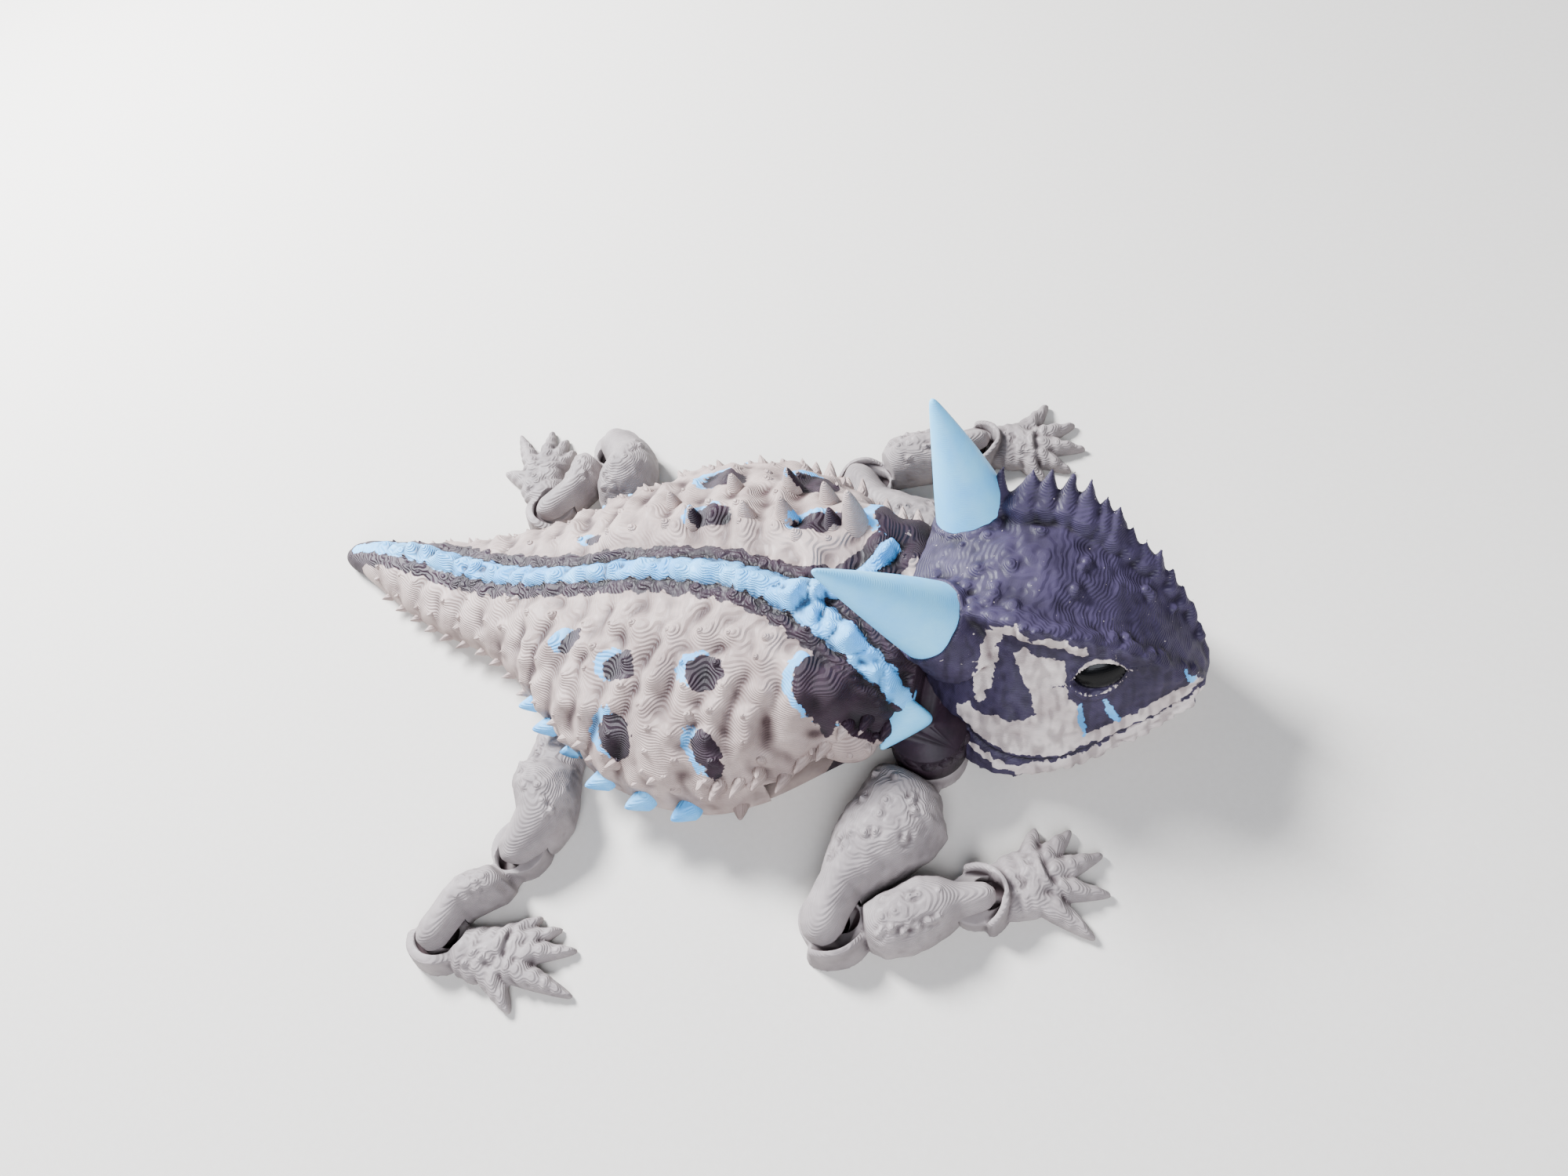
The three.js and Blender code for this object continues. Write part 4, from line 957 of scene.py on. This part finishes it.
POSES = {  # heading of the first link, then the bend at each joint after it, as for a right leg
    ("right", "front"): (-107, 127.5, 13), ("left", "front"): (-134, 98.5, 27),
    ("right", "hind"): (-90.5, -26.5, 122), ("left", "hind"): (-117, -125, 127),
}
for (side, end), turns in POSES.items():
    at = SHOULDER if end == "front" else HIP
    names = ("upper_arm", "forearm", "front_foot") if end == "front" else ("thigh", "shin", "hind_foot")
    lengths = (ARM, FOREARM, 0) if end == "front" else (THIGH, SHIN, 0)
    place = Matrix.Translation((at[0], at[1], 0))
    for name, turn, length in zip(names, turns, lengths):
        place = place @ Matrix.Rotation(math.radians(turn), 4, "Z")
        shape, hollow = LINKS[name].copy(), LINK_HOLLOWS[name]
        bmesh.ops.transform(shape, verts=shape.verts, matrix=place)
        if side == "left":
            mirrored(shape)
        link = piece(f"printed_{name}_{side}", shape, "dusk", dusk_pla, f"{name}_{side}", hollow=hollow)
        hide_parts(f"{name}_{side}")
        place = place @ Matrix.Translation((length, 0, 0))

# The camera stands where the photograph was taken: close above the toy's right front quarter, with
# the angle of view of a phone. The floor is plain and pale, and the light is wide and soft.
camera = bpy.data.objects.new("camera", bpy.data.cameras.new("camera"))
bpy.context.scene.collection.objects.link(camera)
right, down, ahead = (0.9503, 0.2559, -0.1774), (0.1216, -0.8295, -0.5452), (-0.2867, 0.4965, -0.8193)
lens_at = (0.0702, -0.0973, 0.186)
camera.matrix_world = Matrix([
    (right[k], -down[k], -ahead[k], lens_at[k]) for k in range(3)] + [(0, 0, 0, 1)])
camera.data.lens = 27
camera.data.sensor_width = 36
camera.data.clip_start = 0.005
bpy.context.scene.camera = camera

floor_shape = bmesh.new()
bmesh.ops.create_grid(floor_shape, x_segments=1, y_segments=1, size=1.5)
floor = bpy.data.objects.new("floor", bpy.data.meshes.new("floor"))
floor_shape.to_mesh(floor.data)
floor_shape.free()
bpy.context.scene.collection.objects.link(floor)
paper = bpy.data.materials.new("pale backdrop paper")
paper.use_nodes = True
paper_tree = paper.node_tree
fibre = add(paper_tree, "ShaderNodeTexNoise", {"Scale": 900, "Detail": 3},
            {"Vector": add(paper_tree, "ShaderNodeTexCoord").outputs["Object"]}).outputs["Fac"]
paper_tones = {"data_type": "RGBA", 6: linear("#D9D4CC"), 7: linear("#D2CCC3")}
paper_shade = add(paper_tree, "ShaderNodeMix", paper_tones, {0: fibre}).outputs[2]
paper_tree.links.new(paper_shade, paper_tree.nodes["Principled BSDF"].inputs["Base Color"])
paper_tree.nodes["Principled BSDF"].inputs["Roughness"].default_value = 0.9
floor.data.materials.append(paper)

world = bpy.data.worlds.new("soft room")
bpy.context.scene.world = world
world.use_nodes = True
world.node_tree.nodes["Background"].inputs["Color"].default_value = linear("#DDE7F6")
world.node_tree.nodes["Background"].inputs["Strength"].default_value = 0.27
for name, place, size, power, colour in (        # sizes in metres and power in watts
        ("window", (-0.38, 0.2, 0.38), 0.16, 17, "#F4F8FF"),
        ("lamp", (0.2, -0.42, 0.42), 0.4, 5.5, "#EEF3FF")):
    lamp = bpy.data.lights.new(name, "AREA")
    lamp.size, lamp.energy, lamp.color = size, power, linear(colour)[:3]
    stand = bpy.data.objects.new(name, lamp)
    stand.location = place
    stand.rotation_mode = "QUATERNION"
    stand.rotation_quaternion = (-Vector(place)).to_track_quat("-Z", "Y")
    bpy.context.scene.collection.objects.link(stand)
